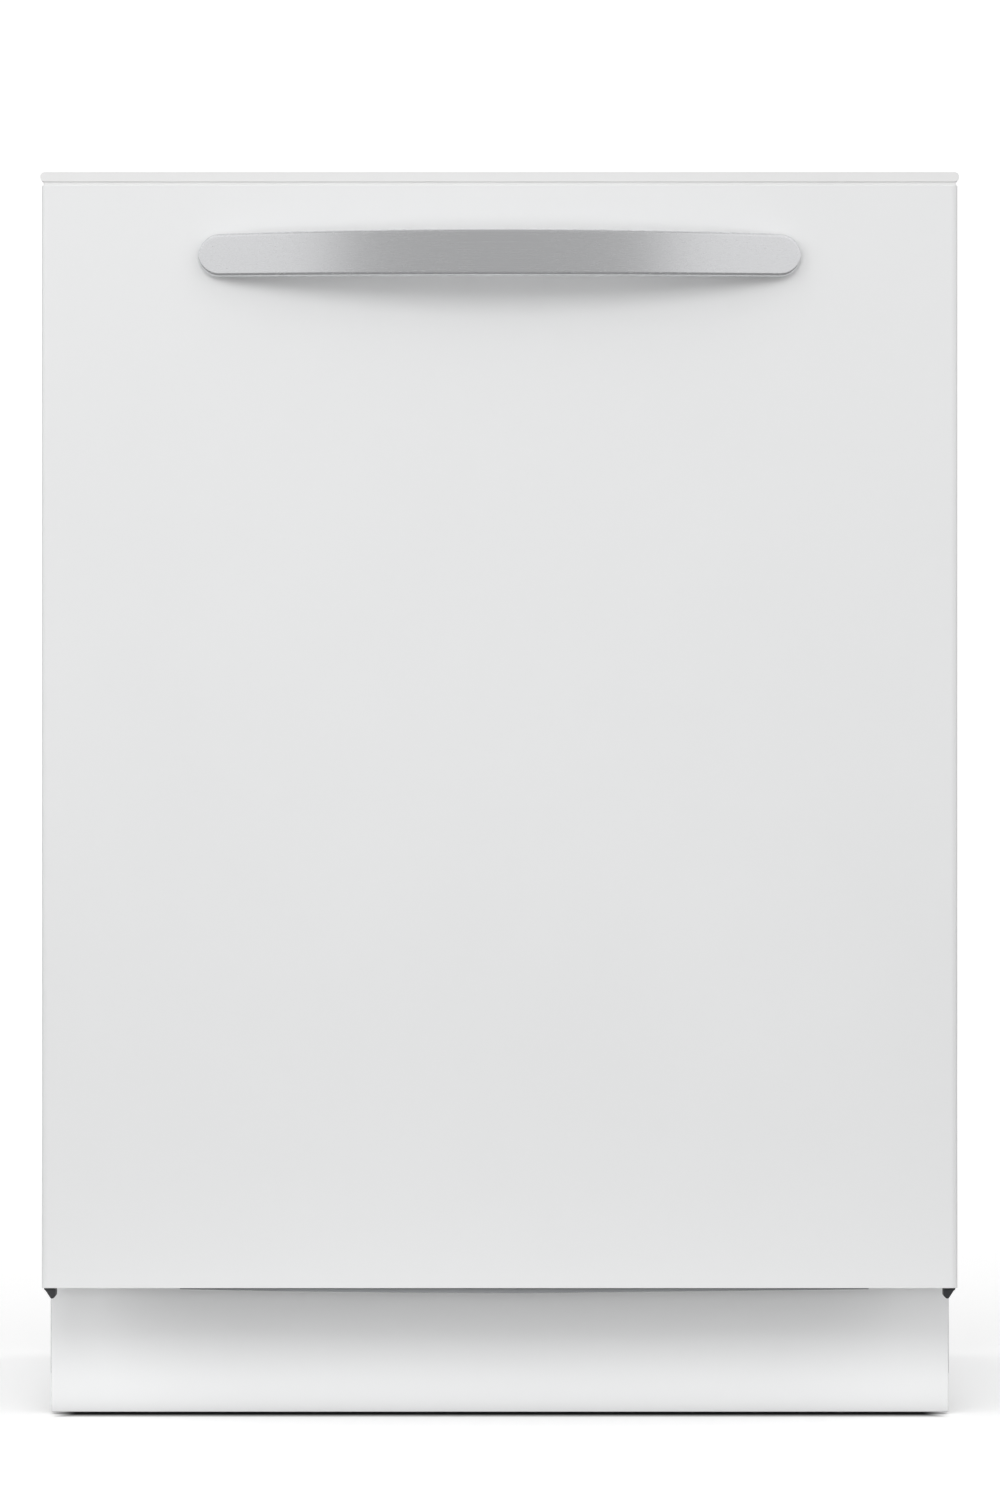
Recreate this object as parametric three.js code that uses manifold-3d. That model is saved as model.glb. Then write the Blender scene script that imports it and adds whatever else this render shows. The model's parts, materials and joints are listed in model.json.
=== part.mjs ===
// A built-in dishwasher, 600 mm wide, with its door, racks, spray arms and wash hardware.
// Millimetres, +Z up, +X to the right seen from the front, the door faces -Y.
// The origin is on the floor, under the middle of the machine.
import * as THREE from "three";
import { mergeVertices } from "three/addons/utils/BufferGeometryUtils.js";
import Module from "manifold-3d";

const wasm = await Module();
wasm.setup();

// ---- Driving dimensions ----------------------------------------------------------------------

// Whole machine
const doorWidth = 598;
const overallHeight = 818;
const bodyDepth = 573; // door face to the rear of the base
const touch = 0.4; // clearance between pieces that touch
const sheet = 1.2; // steel sheet

// Door
const doorBottom = 88.5;
const doorThickness = 52;
const panelDepth = 20;
const panelEdgeRadius = 4.3;
const panelFlange = 10;
const hingeInset = 12; // hinge axis behind the door face
const hingeAboveDoor = 36; // hinge axis above the door's lower edge
const stripHeight = 6.5;
const stripGroove = 2.3;
const stripOverhang = 1;
const stripRadius = 3;
const consoleDepth = 48;
const consoleHeight = 56;
const consoleWall = 2.5;
const linerInset = 10; // liner edge inside the door's side
const linerBelowHinge = 2;
const linerCorner = 8;
const sealLeft = -209;
const sealRight = 241;
const sealDrop = 2.6; // how far the lower lip bows down
const sealDepth = 13;
const capWidth = 8; // corner caps under the door
const capDrop = 6.5;
const capDepth = 17;
const sealGap = 1.2;

// Hinges
const bracketInset = 4; // bracket inside the tub wall's plane
const armSheet = 3;
const hingePlay = 0.6; // between bracket and arm
const pinRadius = 4;
const eyeRadius = 9;
const armLength = 180;
const bracketRoot = 90; // length of the bracket inside the base
const notchMargin = 1.5; // door notch beside the bracket
const notchRoom = 4; // door notch beside the arm

// Handle
const handleReach = 42;
const handleWidth = 393;
const handleEndHeight = 27.7;
const handleMidHeight = 30;
const handleGrip = 9; // thickness at the middle
const handleTip = 4; // thickness at the ends
const handlePad = 18; // length of each end that lies on the door
const handleBelowTop = 55;
const handleStudRadius = 3;
const handleStudInset = 9;
const handleStudLength = 8; // behind the door's skin

// Controls
const buttonWidth = 15;
const buttonDepth = 9;
const buttonPitch = 34;
const buttonTravel = 1.5;
const buttonProud = 0.8;
const buttonFlange = 1.5;
const buttonMiddle = 130; // middle of the row of buttons
const windowX = -60;
const windowWidth = 62;
const windowDepth = 16;
const windowRim = 2;

// Dispenser on the inside of the door
const dispenserWidth = 176;
const dispenserHeight = 96;
const dispenserDepth = 26;
const dispenserProud = 3;
const dispenserAboveHinge = 250;
const lidWidth = 66;
const lidHeight = 64;
const lidTravel = 60;
const wellWidth = 54;
const wellHeight = 52;
const wellDepth = 20;
const wellX = 8;
const capRadius = 17;
const capX = 60;
const platePlay = 3; // dispenser plate over the edge of its hole

// Tub and frame
const gasketThickness = 4.5;
const tubInset = 27; // tub wall inside the door's side
const ledgeAboveOpenDoor = 7.5;
const ledgeWidth = 40;
const floorDrop = 30; // tub floor below the wheel ledges
const tubBelowTop = 28;
const tubBackInset = 14;
const tubCorner = 22;
const flangeWidth = 18;
const flangeBelow = 16;
const flangeAbove = 12;
const gasketWidth = 11;
const insulation = 8;
const crossRailDepth = 40;
const bracketSize = 40;
const strikeWidth = 24;
const strikePlay = 3;

// Base
const toeSetback = 70;
const toeClearance = 1.5;
const toeInset = 2;
const toeReturn = 12;
const baseFloor = 26;
const baseWall = 3;
const baseSideTop = 120;
const footPadRadius = 19;
const footPadHeight = 7;
const footStemRadius = 5;
const footTravel = 45;
const footInset = 30;
const bossRadius = 11;
const bossHeight = 32;

// Wash system
const sumpRadius = 100;
const sumpBottom = 66;
const sumpOffset = 25;
const sumpRim = 10;
const postRadius = 14;
const journalStep = 6; // lower arm's journal thinner than its post
const hubStep = 5; // upper arm's journal thinner than its hub
const journalPlay = 0.6;
const filterRadius = 34;
const filterOffset = 45;
const lowerArmRadius = 235;
const upperArmRadius = 215;
const armWidth = 46;
const armThickness = 12;
const lowerArmHeight = 6; // lower spray arm above the wheel ledges
const feedTubeWidth = 44;
const feedTubeDepth = 20;
const floatRadius = 16;
const pumpRadius = 40;
const pumpLength = 95;
const drainRadius = 24;
const drainLength = 60;
const spigotRadius = 9;
const springRadius = 7;
const springLength = 150;

// Racks
const wire = 4;
const hoopWire = 5;
const crossing = 1; // crossed wires lie this much lower and are welded into each other
const rackFrontGap = 40; // lower rack to the closed door
const upperFrontGap = 30;
const rackRearGap = 30;
const lowerRackAboveOpenDoor = 35.5;
const lowerRackHeight = 140;
const lowerRackInset = 32; // bottom grid inside the tub wall
const lowerRimInset = 12;
const upperRackAboveFloor = 338;
const upperRackHeight = 120;
const upperRackInset = 18;
const wheelRadius = 19;
const wheelWidth = 8;
const axleRadius = 3;
const wheelInset = 70; // wheel axle behind the rack's front and ahead of its rear
const tineHeight = 82;
const shelfWidth = 78;
const shelfLength = 300;
const shelfThickness = 3;
const shelfAboveRack = 80;
const clipX = 152; // clips of the folding tines
const upperHub = 12;
const dockDrop = 30; // docking mouth under the upper rack's grid
const basketWidth = 220;
const basketDepth = 74;
const basketHeight = 124;
const basketWall = 2.5;
const basketInset = 10; // behind the lower rack's front
const bailHeight = 44;
const runnerHeight = 10;
const runnerPlay = 0.6;
const cupTineHeight = 52;
const cupTineX = 52;
const railHeight = 16;

// ---- Places worked out from them -------------------------------------------------------------

const halfDoor = doorWidth / 2;
const face = handleReach - (bodyDepth + handleReach) / 2;
const rear = face + bodyDepth;
const hingeY = face + hingeInset;
const hingeZ = doorBottom + hingeAboveDoor;
const linerY = face + doorThickness;
const stripTop = overallHeight - buttonProud;
const panelTop = stripTop - stripHeight - stripGroove;
const consoleBottom = stripTop - consoleHeight;
const halfLiner = halfDoor - linerInset;
const linerFront = face + panelDepth + touch;
const consoleFloor = stripTop - consoleWall;
const consoleMidY = face + consoleDepth / 2;
const openDoorZ = hingeZ + doorThickness - hingeInset;
const ledgeZ = openDoorZ + ledgeAboveOpenDoor;
const floorZ = ledgeZ - floorDrop;
const halfTub = halfDoor - tubInset;
const bracketInner = halfTub - bracketInset;
const armInner = bracketInner + armSheet + hingePlay;
const tubTop = overallHeight - tubBelowTop;
const flangeY = linerY + sealGap + gasketThickness + touch;
const tubBack = rear - tubBackInset;
const flangeTop = tubTop + flangeAbove;
const strikeZ = flangeTop + strikePlay;
const flangeBottom = floorZ - flangeBelow;
const halfFlange = halfTub + flangeWidth;
const tubMiddle = (flangeY + tubBack) / 2;
const halfBody = halfDoor - 1;
const baseHalf = halfBody - sheet - touch;
const toeY = face + toeSetback;
const toeTop = doorBottom - 2.5;
const baseFront = toeY + toeReturn + 2;
const trayFloor = baseFloor + baseWall + touch; // where a piece stands in the base
const rackRear = tubBack - rackRearGap;
const rackFront = linerY + rackFrontGap;
const rackBottom = openDoorZ + lowerRackAboveOpenDoor;
const upperFront = linerY + upperFrontGap;
const upperBottom = floorZ + upperRackAboveFloor;
const upperTop = upperBottom + upperRackHeight;
const halfUpper = halfTub - upperRackInset;
const handleZ = panelTop - handleBelowTop + stripHeight + stripGroove;
const handleStudX = handleWidth / 2 - handleStudInset;
const dispenserZ = hingeZ + dispenserAboveHinge;
const dispenserFace = linerY + dispenserProud;

// ---- Finishes --------------------------------------------------------------------------------

const finishes = {
  whitePaint: { color: "#eceded", roughness: 0.38, metalness: 0 },
  brushedSteel: { color: "#b9babb", roughness: 0.32, metalness: 1 },
  tubSteel: { color: "#c3c5c7", roughness: 0.28, metalness: 1 },
  zincSteel: { color: "#a9adb0", roughness: 0.45, metalness: 1 },
  darkPlastic: { color: "#3a3b3d", roughness: 0.55, metalness: 0 },
  greyPlastic: { color: "#8d9093", roughness: 0.5, metalness: 0 },
  whitePlastic: { color: "#e6e7e7", roughness: 0.42, metalness: 0 },
  rubber: { color: "#2b2b2c", roughness: 0.8, metalness: 0 },
  felt: { color: "#4c4a48", roughness: 0.95, metalness: 0 },
  wireCoat: { color: "#c9cbcd", roughness: 0.5, metalness: 0 },
  smokedGlass: { color: "#17181a", roughness: 0.12, metalness: 0 },
};

// ---- Making and cutting solids ---------------------------------------------------------------

const stepsPerMillimetre = 1024; // exact in binary, so faces meant to be level are level

// A closed geometry as a solid that can be joined to others and cut.
function solid(geometry) {
  geometry.deleteAttribute("normal");
  geometry.deleteAttribute("uv");
  const values = geometry.attributes.position.array;
  values.forEach((value, i) => {
    values[i] = Math.round(value * stepsPerMillimetre) / stepsPerMillimetre;
  });
  const merged = mergeVertices(geometry);
  return new wasm.Manifold(
    new wasm.Mesh({
      numProp: 3,
      vertProperties: merged.attributes.position.array,
      triVerts: new Uint32Array(merged.index.array),
    }),
  );
}

function geometryOf(shape) {
  const mesh = shape.getMesh();
  const geometry = new THREE.BufferGeometry();
  geometry.setAttribute("position", new THREE.BufferAttribute(mesh.vertProperties, 3));
  geometry.setIndex(new THREE.BufferAttribute(mesh.triVerts, 1));
  return geometry;
}

function join(shapes) {
  return shapes.reduce((whole, next) => whole.add(next));
}

function cut(shape, holes) {
  return holes.reduce((whole, hole) => whole.subtract(hole), shape);
}

// A box between two values on each axis.
function block(x, y, z) {
  const geometry = new THREE.BoxGeometry(x[1] - x[0], y[1] - y[0], z[1] - z[0]);
  geometry.translate((x[0] + x[1]) / 2, (y[0] + y[1]) / 2, (z[0] + z[1]) / 2);
  return solid(geometry);
}

const alongAxis = {
  x: new THREE.Matrix4().makeBasis(
    new THREE.Vector3(0, 1, 0),
    new THREE.Vector3(0, 0, 1),
    new THREE.Vector3(1, 0, 0),
  ),
  y: new THREE.Matrix4().makeBasis(
    new THREE.Vector3(0, 0, 1),
    new THREE.Vector3(1, 0, 0),
    new THREE.Vector3(0, 1, 0),
  ),
  z: new THREE.Matrix4(),
};

// An outline pushed along an axis. The outline's own two axes are Y and Z for x, Z and X for y,
// and X and Y for z.
function prism(outline, axis, from, to, curveSegments = 6) {
  const geometry = new THREE.ExtrudeGeometry(outline, {
    depth: to - from,
    bevelEnabled: false,
    curveSegments,
  });
  geometry.translate(0, 0, from);
  geometry.applyMatrix4(alongAxis[axis]);
  return solid(geometry);
}

// A round bar along an axis; centre gives the other two coordinates in the order of prism.
function bar(axis, radius, from, to, centre, sides = 20) {
  const geometry = new THREE.CylinderGeometry(radius, radius, to - from, sides);
  geometry.rotateX(Math.PI / 2);
  geometry.translate(centre[0], centre[1], (from + to) / 2);
  geometry.applyMatrix4(alongAxis[axis]);
  return solid(geometry);
}

// A rectangle from (u0, v0) to (u1, v1) with round corners.
function rectangle(u0, u1, v0, v1, radius = 0) {
  const outline = new THREE.Shape();
  if (radius === 0) {
    outline.moveTo(u0, v0).lineTo(u1, v0).lineTo(u1, v1).lineTo(u0, v1).closePath();
    return outline;
  }
  outline.moveTo(u0 + radius, v0);
  outline.lineTo(u1 - radius, v0);
  outline.absarc(u1 - radius, v0 + radius, radius, -Math.PI / 2, 0);
  outline.lineTo(u1, v1 - radius);
  outline.absarc(u1 - radius, v1 - radius, radius, 0, Math.PI / 2);
  outline.lineTo(u0 + radius, v1);
  outline.absarc(u0 + radius, v1 - radius, radius, Math.PI / 2, Math.PI);
  outline.lineTo(u0, v0 + radius);
  outline.absarc(u0 + radius, v0 + radius, radius, Math.PI, Math.PI * 1.5);
  return outline;
}

function polygon(points) {
  const outline = new THREE.Shape();
  points.forEach(([u, v], i) => (i ? outline.lineTo(u, v) : outline.moveTo(u, v)));
  outline.closePath();
  return outline;
}

// A square wire bent at right angles in one plane; points are in the plane's own axes, as in prism.
function bentWire(axis, at, points) {
  const half = wire / 2;
  const last = points.length - 1;
  const normal = (i) => {
    const du = Math.sign(points[i + 1][0] - points[i][0]);
    const dv = Math.sign(points[i + 1][1] - points[i][1]);
    return [-dv, du];
  };
  const edge = (side) =>
    points.map(([u, v], i) => {
      const before = normal(Math.max(i - 1, 0));
      const after = normal(Math.min(i, last - 1));
      const bent = before[0] * after[0] + before[1] * after[1] === 0 ? 1 : 0;
      return [
        u + side * half * (before[0] + bent * after[0]),
        v + side * half * (before[1] + bent * after[1]),
      ];
    });
  return prism(polygon([...edge(1), ...edge(-1).reverse()]), axis, at - half, at + half);
}

// A row of tines standing on one straight wire.
function comb(axis, at, from, to, level, places, height) {
  const half = wire / 2;
  const flip = axis === "y";
  const teeth = places.flatMap((place) => [
    [place - half, level + half],
    [place - half, level + height],
    [place + half, level + height],
    [place + half, level + half],
  ]);
  const start = [[from, level - half], [from, level + half]];
  const end = [[to, level + half], [to, level - half]];
  const outline = [...start, ...teeth, ...end];
  const points = flip ? outline.map(([u, v]) => [v, u]) : outline;
  return prism(polygon(points), axis, at - half, at + half);
}

// A closed rectangle of slightly thicker wire.
function hoop(halfX, y0, y1, z) {
  const half = hoopWire / 2;
  const outline = rectangle(-halfX - half, halfX + half, y0 - half, y1 + half);
  outline.holes.push(rectangle(half - halfX, halfX - half, y0 + half, y1 - half));
  return prism(outline, "z", z - half, z + half);
}

// Evenly spaced values, both ends included.
function spaced(from, to, count) {
  return Array.from({ length: count }, (_, i) => from + ((to - from) * i) / (count - 1));
}

// ---- The scene graph -------------------------------------------------------------------------

const group = new THREE.Group();

function subgroup(name) {
  const made = new THREE.Group();
  made.name = name;
  group.add(made);
  return made;
}

// Adds one sub-part to a group; place is where its own origin goes.
function addPart(owner, name, shape, finish, place = [0, 0, 0]) {
  const mesh = new THREE.Mesh(geometryOf(shape), new THREE.MeshStandardMaterial(finishes[finish]));
  mesh.name = name;
  mesh.position.set(...place);
  owner.add(mesh);
}

const sides = [
  { word: "left", sign: -1 },
  { word: "right", sign: 1 },
];

// A range on X given outwards from the middle, on the left or the right.
function outward(sign, inner, outer) {
  return sign < 0 ? [-outer, -inner] : [inner, outer];
}

// ---- Door ------------------------------------------------------------------------------------

const door = subgroup("door");

// Folded steel skin with round side edges, returned behind on all four sides.
function outerPanel() {
  const back = face + panelDepth;
  const plan = (grow, from) => {
    const half = halfDoor - grow;
    const radius = panelEdgeRadius - grow;
    const outline = new THREE.Shape();
    outline.moveTo(from + radius, -half);
    outline.lineTo(back, -half);
    outline.lineTo(back, half);
    outline.lineTo(from + radius, half);
    outline.absarc(from + radius, half - radius, radius, Math.PI / 2, Math.PI);
    outline.lineTo(from, -half + radius);
    outline.absarc(from + radius, -half + radius, radius, Math.PI, Math.PI * 1.5);
    return outline;
  };
  const turned = (outline) =>
    polygon(outline.getPoints(4).slice(0, -1).map((p) => [p.y, p.x]).reverse());
  const whole = prism(turned(plan(0, face)), "z", doorBottom, panelTop);
  const hollow = prism(turned(plan(sheet, face + sheet)), "z", doorBottom + sheet, panelTop - sheet);
  const inside = hollow.subtract(
    block([-doorWidth, doorWidth], [back - sheet, back + 1], [0, overallHeight]),
  );
  const opening = block(
    [panelFlange - halfDoor, halfDoor - panelFlange],
    [face + 2 * sheet, back + 1],
    [doorBottom + sheet, panelTop - sheet],
  );
  const slots = sides.map(({ sign }) =>
    block(
      outward(sign, bracketInner - notchMargin, armInner + armSheet + notchRoom),
      [face + sheet, back + 1],
      [doorBottom - 1, doorBottom + 2 * sheet],
    ),
  );
  const studs = sides.map(({ sign }) =>
    bar("y", handleStudRadius + touch, face - 1, face + 3, [handleZ, sign * handleStudX], 12),
  );
  return cut(whole, [inside, opening, ...slots, ...studs]);
}

// Inner pan: the wall that closes the tub, open towards the outer skin.
function innerLiner() {
  const front = linerFront;
  const bottom = hingeZ - linerBelowHinge;
  const top = consoleBottom - touch;
  const shell = prism(rectangle(bottom, top, -halfLiner, halfLiner, linerCorner), "y", front, linerY, 3);
  const hollow = prism(
    rectangle(bottom + sheet, top - sheet, sheet - halfLiner, halfLiner - sheet, linerCorner - sheet),
    "y",
    front - 1,
    linerY - sheet,
    3,
  );
  const hole = block(
    [platePlay - dispenserWidth / 2, dispenserWidth / 2 - platePlay],
    [linerY - 5, linerY + 1],
    [dispenserZ - dispenserHeight / 2 + platePlay, dispenserZ + dispenserHeight / 2 - platePlay],
  );
  const notches = sides.map(({ sign }) =>
    block(
      outward(sign, bracketInner - notchMargin, armInner + armSheet + notchRoom),
      [front - 1, linerY - sheet - 1],
      [bottom - 1, bottom + 2 * sheet],
    ),
  );
  return cut(shell, [hollow, hole, ...notches]);
}

const buttonNames = ["power_button", "program_button", "option_button", "start_button"];
const lastStep = (buttonNames.length - 1) / 2;
const buttonX = spaced(-lastStep, lastStep, buttonNames.length).map(
  (step) => buttonMiddle + step * buttonPitch,
);

// Control housing: the strip seen above the door, its top face and the box behind the skin.
function controlConsole() {
  const half = halfDoor + stripOverhang;
  const strip = prism(
    rectangle(stripTop - stripHeight, stripTop, -half, half, stripRadius),
    "y",
    face,
    face + panelDepth,
    4,
  );
  const housing = block(
    [-halfLiner, halfLiner],
    [linerFront, linerY],
    [consoleBottom, stripTop],
  );
  const bridge = block(
    [-halfLiner, halfLiner],
    [face + panelDepth / 4, linerY - consoleWall * 2],
    [stripTop - stripHeight, stripTop],
  );
  const hollow = block(
    [consoleWall - halfLiner, halfLiner - consoleWall],
    [linerFront + consoleWall, linerY - consoleWall],
    [consoleBottom - 1, stripTop - stripHeight],
  );
  const underTop = block(
    [consoleWall - halfLiner, halfLiner - consoleWall],
    [face + panelDepth / 2, linerY - consoleWall],
    [stripTop - stripHeight - 0.5, consoleFloor],
  );
  const holes = buttonX.map((x) =>
    block(
      [x - buttonWidth / 2 - touch, x + buttonWidth / 2 + touch],
      [consoleMidY - buttonDepth / 2 - touch, consoleMidY + buttonDepth / 2 + touch],
      [consoleFloor - 1, stripTop + 1],
    ),
  );
  const windowHole = block(
    [windowX - windowWidth / 2 - touch, windowX + windowWidth / 2 + touch],
    [consoleMidY - windowDepth / 2 - touch, consoleMidY + windowDepth / 2 + touch],
    [consoleFloor - 1, stripTop + 1],
  );
  const strikeSlot = block(
    [-strikeWidth / 2 - strikePlay, strikeWidth / 2 + strikePlay],
    [linerY - consoleWall - 1, linerY + 1],
    [strikeZ - strikePlay, strikeZ + strikePlay + 2],
  );
  return cut(join([strip, housing, bridge]), [hollow, underTop, ...holes, windowHole, strikeSlot]);
}

// Bowed grip: round-ended from the front, an arc from above, lying on the door at both ends.
function handleShape() {
  const half = handleWidth / 2;
  const base = face - touch;
  const arc = (halfChord, start, rise) => {
    const radius = (halfChord ** 2 + rise ** 2) / (2 * rise);
    return spaced(-1, 1, 33).map((t) => {
      const x = t * halfChord;
      return [base - start - (Math.sqrt(radius ** 2 - x ** 2) - (radius - rise)), x];
    });
  };
  const reach = handleReach - touch;
  const outer = arc(half, handleTip, reach - handleTip);
  const inner = arc(half - handlePad, 0, reach - handleGrip).reverse();
  const plan = [...outer, [base, half], ...inner, [base, -half]].map(([y, x]) => [x, y]);
  const bow = prism(polygon(plan.reverse()), "z", handleZ - 20, handleZ + 20);
  const edge = spaced(-1, 1, 17).map((t) => {
    const height = handleMidHeight + (handleEndHeight - handleMidHeight) * t * t;
    return [height / 2, t * (half - handleEndHeight / 2)];
  });
  const cap = (sign) =>
    spaced(0, Math.PI, 9)
      .slice(1, -1)
      .map((a) => [
        (Math.cos(a) * sign * handleEndHeight) / 2,
        sign * (half - handleEndHeight / 2 + (Math.sin(a) * handleEndHeight) / 2),
      ]);
  const lower = edge.map(([v, u]) => [-v, u]).reverse();
  const outline = [...edge, ...cap(1), ...lower, ...cap(-1)].map(([v, u]) => [handleZ + v, u]);
  const front = prism(polygon(outline), "y", face - handleReach - 1, face);
  const studs = sides.map(({ sign }) =>
    bar("y", handleStudRadius, base - 2, face + sheet + handleStudLength, [handleZ, sign * handleStudX], 12),
  );
  return join([bow.intersect(front), ...studs]);
}

// Steel arm at each side of the door, with the eye that the hinge pin runs in.
function hingeArm(sign) {
  const x = outward(sign, armInner, armInner + armSheet);
  const strip = block(x, [hingeY - 6, hingeY + 6], [hingeZ, hingeZ + 60]);
  const plate = block(x, [hingeY - 6, linerY - sheet - touch], [hingeZ + 40, hingeZ + armLength]);
  const eye = bar("x", eyeRadius, x[0], x[1], [hingeY, hingeZ]);
  const bore = bar("x", pinRadius + touch, x[0] - 1, x[1] + 1, [hingeY, hingeZ]);
  return cut(join([strip, plate, eye]), [bore]);
}

function dispenserBody() {
  const plate = block(
    [-dispenserWidth / 2, dispenserWidth / 2],
    [linerY + touch, dispenserFace],
    [dispenserZ - dispenserHeight / 2, dispenserZ + dispenserHeight / 2],
  );
  const inner = block(
    [-dispenserWidth / 2 + 4, dispenserWidth / 2 - 4],
    [dispenserFace - dispenserDepth, dispenserFace - 1],
    [dispenserZ - dispenserHeight / 2 + 4, dispenserZ + dispenserHeight / 2 - 4],
  );
  const well = block(
    [wellX - wellWidth / 2, wellX + wellWidth / 2],
    [dispenserFace - wellDepth, dispenserFace + 1],
    [dispenserZ - wellHeight / 2, dispenserZ + wellHeight / 2],
  );
  const tank = bar("y", capRadius - 4, dispenserFace - 14, dispenserFace + 1, [dispenserZ, capX], 16);
  return cut(join([plate, inner]), [well, tank]);
}

function dispenserLid() {
  const y = dispenserFace + touch;
  const plate = prism(
    rectangle(
      dispenserZ - lidHeight / 2,
      dispenserZ + lidHeight / 2,
      wellX - lidWidth / 2,
      wellX + lidWidth / 2,
      5,
    ),
    "y",
    y,
    y + 3,
    2,
  );
  const grip = block([wellX - 4, wellX + 4], [y + 2, y + 6], [dispenserZ - 16, dispenserZ + 16]);
  return join([plate, grip]);
}

function rinseCap() {
  const y = dispenserFace + touch;
  const disc = bar("y", capRadius, y, y + 3, [0, 0], 24);
  const neck = bar("y", capRadius - 5, dispenserFace - 6, y + 1, [0, 0], 16);
  const grip = block([-3, 3], [y + 2, y + 6.5], [4 - capRadius, capRadius - 4]);
  return join([disc, neck, grip]);
}

function buttonShape() {
  const cap = block(
    [-buttonWidth / 2, buttonWidth / 2],
    [-buttonDepth / 2, buttonDepth / 2],
    [consoleFloor - touch, overallHeight],
  );
  const flange = block(
    [-buttonWidth / 2 - buttonFlange, buttonWidth / 2 + buttonFlange],
    [-buttonDepth / 2 - buttonFlange, buttonDepth / 2 + buttonFlange],
    [consoleFloor - touch - buttonFlange, consoleFloor - touch],
  );
  return cap.add(flange);
}

function displayWindow() {
  const x = [windowX - windowWidth / 2, windowX + windowWidth / 2];
  const y = [consoleMidY - windowDepth / 2, consoleMidY + windowDepth / 2];
  const pane = block(x, y, [consoleFloor - touch, stripTop - 0.3]);
  const rim = block(
    [x[0] - windowRim, x[1] + windowRim],
    [y[0] - windowRim, y[1] + windowRim],
    [consoleFloor - touch - windowRim, consoleFloor - touch],
  );
  return pane.add(rim);
}

const boardZ = consoleBottom + 24;

function controlBoard() {
  const y = [linerFront + consoleWall + 2, linerY - consoleWall - 2];
  const board = block([windowX - 60, 200], y, [boardZ, boardZ + 1.6]);
  const relay = block([-20, 20], [y[0] + 3, y[0] + 15], [boardZ + 1.5, boardZ + 8]);
  const display = block([windowX - 28, windowX + 28], [y[0] + 1, y[0] + 12], [boardZ + 1.5, boardZ + 6]);
  return join([board, relay, display]);
}

// Door lock behind the slot in the console; the strike on the frame enters its mouth.
function doorLatch() {
  const half = strikeWidth / 2 + strikePlay;
  const casing = block([-28, 28], [linerY - 27, linerY - consoleWall - touch], [strikeZ - 8, strikeZ + 6]);
  const mouth = block(
    [-half, half],
    [linerY - 24, linerY + 1],
    [strikeZ - strikePlay, strikeZ + strikePlay + 1],
  );
  return casing.subtract(mouth);
}

// Rubber lip under the door's lower edge, bowed a little downwards.
function bottomSeal() {
  const middle = (sealLeft + sealRight) / 2;
  const half = (sealRight - sealLeft) / 2;
  const curve = spaced(-1, 1, 13).map((t) => [
    doorBottom - touch - 0.5 - sealDrop * (1 - t * t),
    middle + half * t,
  ]);
  const outline = [[doorBottom - touch, sealLeft], ...curve, [doorBottom - touch, sealRight]];
  return prism(polygon(outline.reverse()), "y", face + 3, face + 3 + sealDepth);
}

function cornerCap(sign) {
  const outer = sign * (halfDoor - 1);
  const inner = sign * (halfDoor - 1 - capWidth);
  const top = doorBottom - touch;
  const outline = new THREE.Shape();
  outline.moveTo(top, outer);
  outline.lineTo(top, inner);
  outline.lineTo(top - capDrop / 2, inner);
  outline.quadraticCurveTo(top - capDrop, inner, top - capDrop, inner + sign * 4);
  outline.lineTo(top - capDrop, outer - sign);
  outline.lineTo(top - capDrop + 1, outer);
  return prism(polygon(outline.getPoints(4).map((p) => [p.x, p.y])), "y", face + 2, face + 2 + capDepth);
}

addPart(door, "door_outer_panel", outerPanel(), "whitePaint");
addPart(door, "door_inner_liner", innerLiner(), "tubSteel");
addPart(door, "control_console", controlConsole(), "whitePlastic");
addPart(door, "display_window", displayWindow(), "smokedGlass");
addPart(door, "control_board", controlBoard(), "darkPlastic");
addPart(door, "door_latch", doorLatch(), "darkPlastic");
addPart(door, "door_handle", handleShape(), "brushedSteel");
addPart(door, "door_bottom_seal", bottomSeal(), "rubber");
addPart(door, "dispenser_body", dispenserBody(), "greyPlastic");
addPart(door, "dispenser_lid", dispenserLid(), "greyPlastic");
addPart(door, "rinse_aid_cap", rinseCap(), "darkPlastic", [capX, 0, dispenserZ]);
buttonNames.forEach((name, i) => {
  addPart(door, name, buttonShape(), "greyPlastic", [buttonX[i], consoleMidY, 0]);
});
sides.forEach(({ word, sign }) => {
  addPart(door, "door_corner_cap_" + word, cornerCap(sign), "darkPlastic");
  addPart(door, "hinge_arm_" + word, hingeArm(sign), "zincSteel");
});

// ---- Tub and frame ---------------------------------------------------------------------------

const body = subgroup("body");

// Stainless wash tub with its front flange, wheel ledges and the well hole in its floor.
function tubShell() {
  const section = (grow) => {
    const half = halfTub + grow;
    const step = halfTub - ledgeWidth + grow;
    return polygon([
      [floorZ - grow, -step],
      [floorZ - grow, step],
      [ledgeZ - grow, step],
      [ledgeZ - grow, half],
      [tubTop - tubCorner, half],
      [tubTop + grow - 6, half - 6],
      [tubTop + grow, half - tubCorner],
      [tubTop + grow, tubCorner - half],
      [tubTop + grow - 6, 6 - half],
      [tubTop - tubCorner, -half],
      [ledgeZ - grow, -half],
      [ledgeZ - grow, -step],
    ].reverse());
  };
  const outer = prism(section(sheet), "y", flangeY, tubBack + sheet);
  const hollow = prism(section(0), "y", flangeY - 1, tubBack);
  const flange = prism(
    rectangle(flangeBottom, flangeTop, -halfFlange, halfFlange, 14),
    "y",
    flangeY,
    flangeY + sheet,
    3,
  );
  const well = bar("z", sumpRadius + 0.6, floorZ - 10, floorZ + 10, [sumpOffset, tubMiddle + sumpOffset], 32);
  return cut(join([outer, flange]), [hollow, well]);
}

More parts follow.
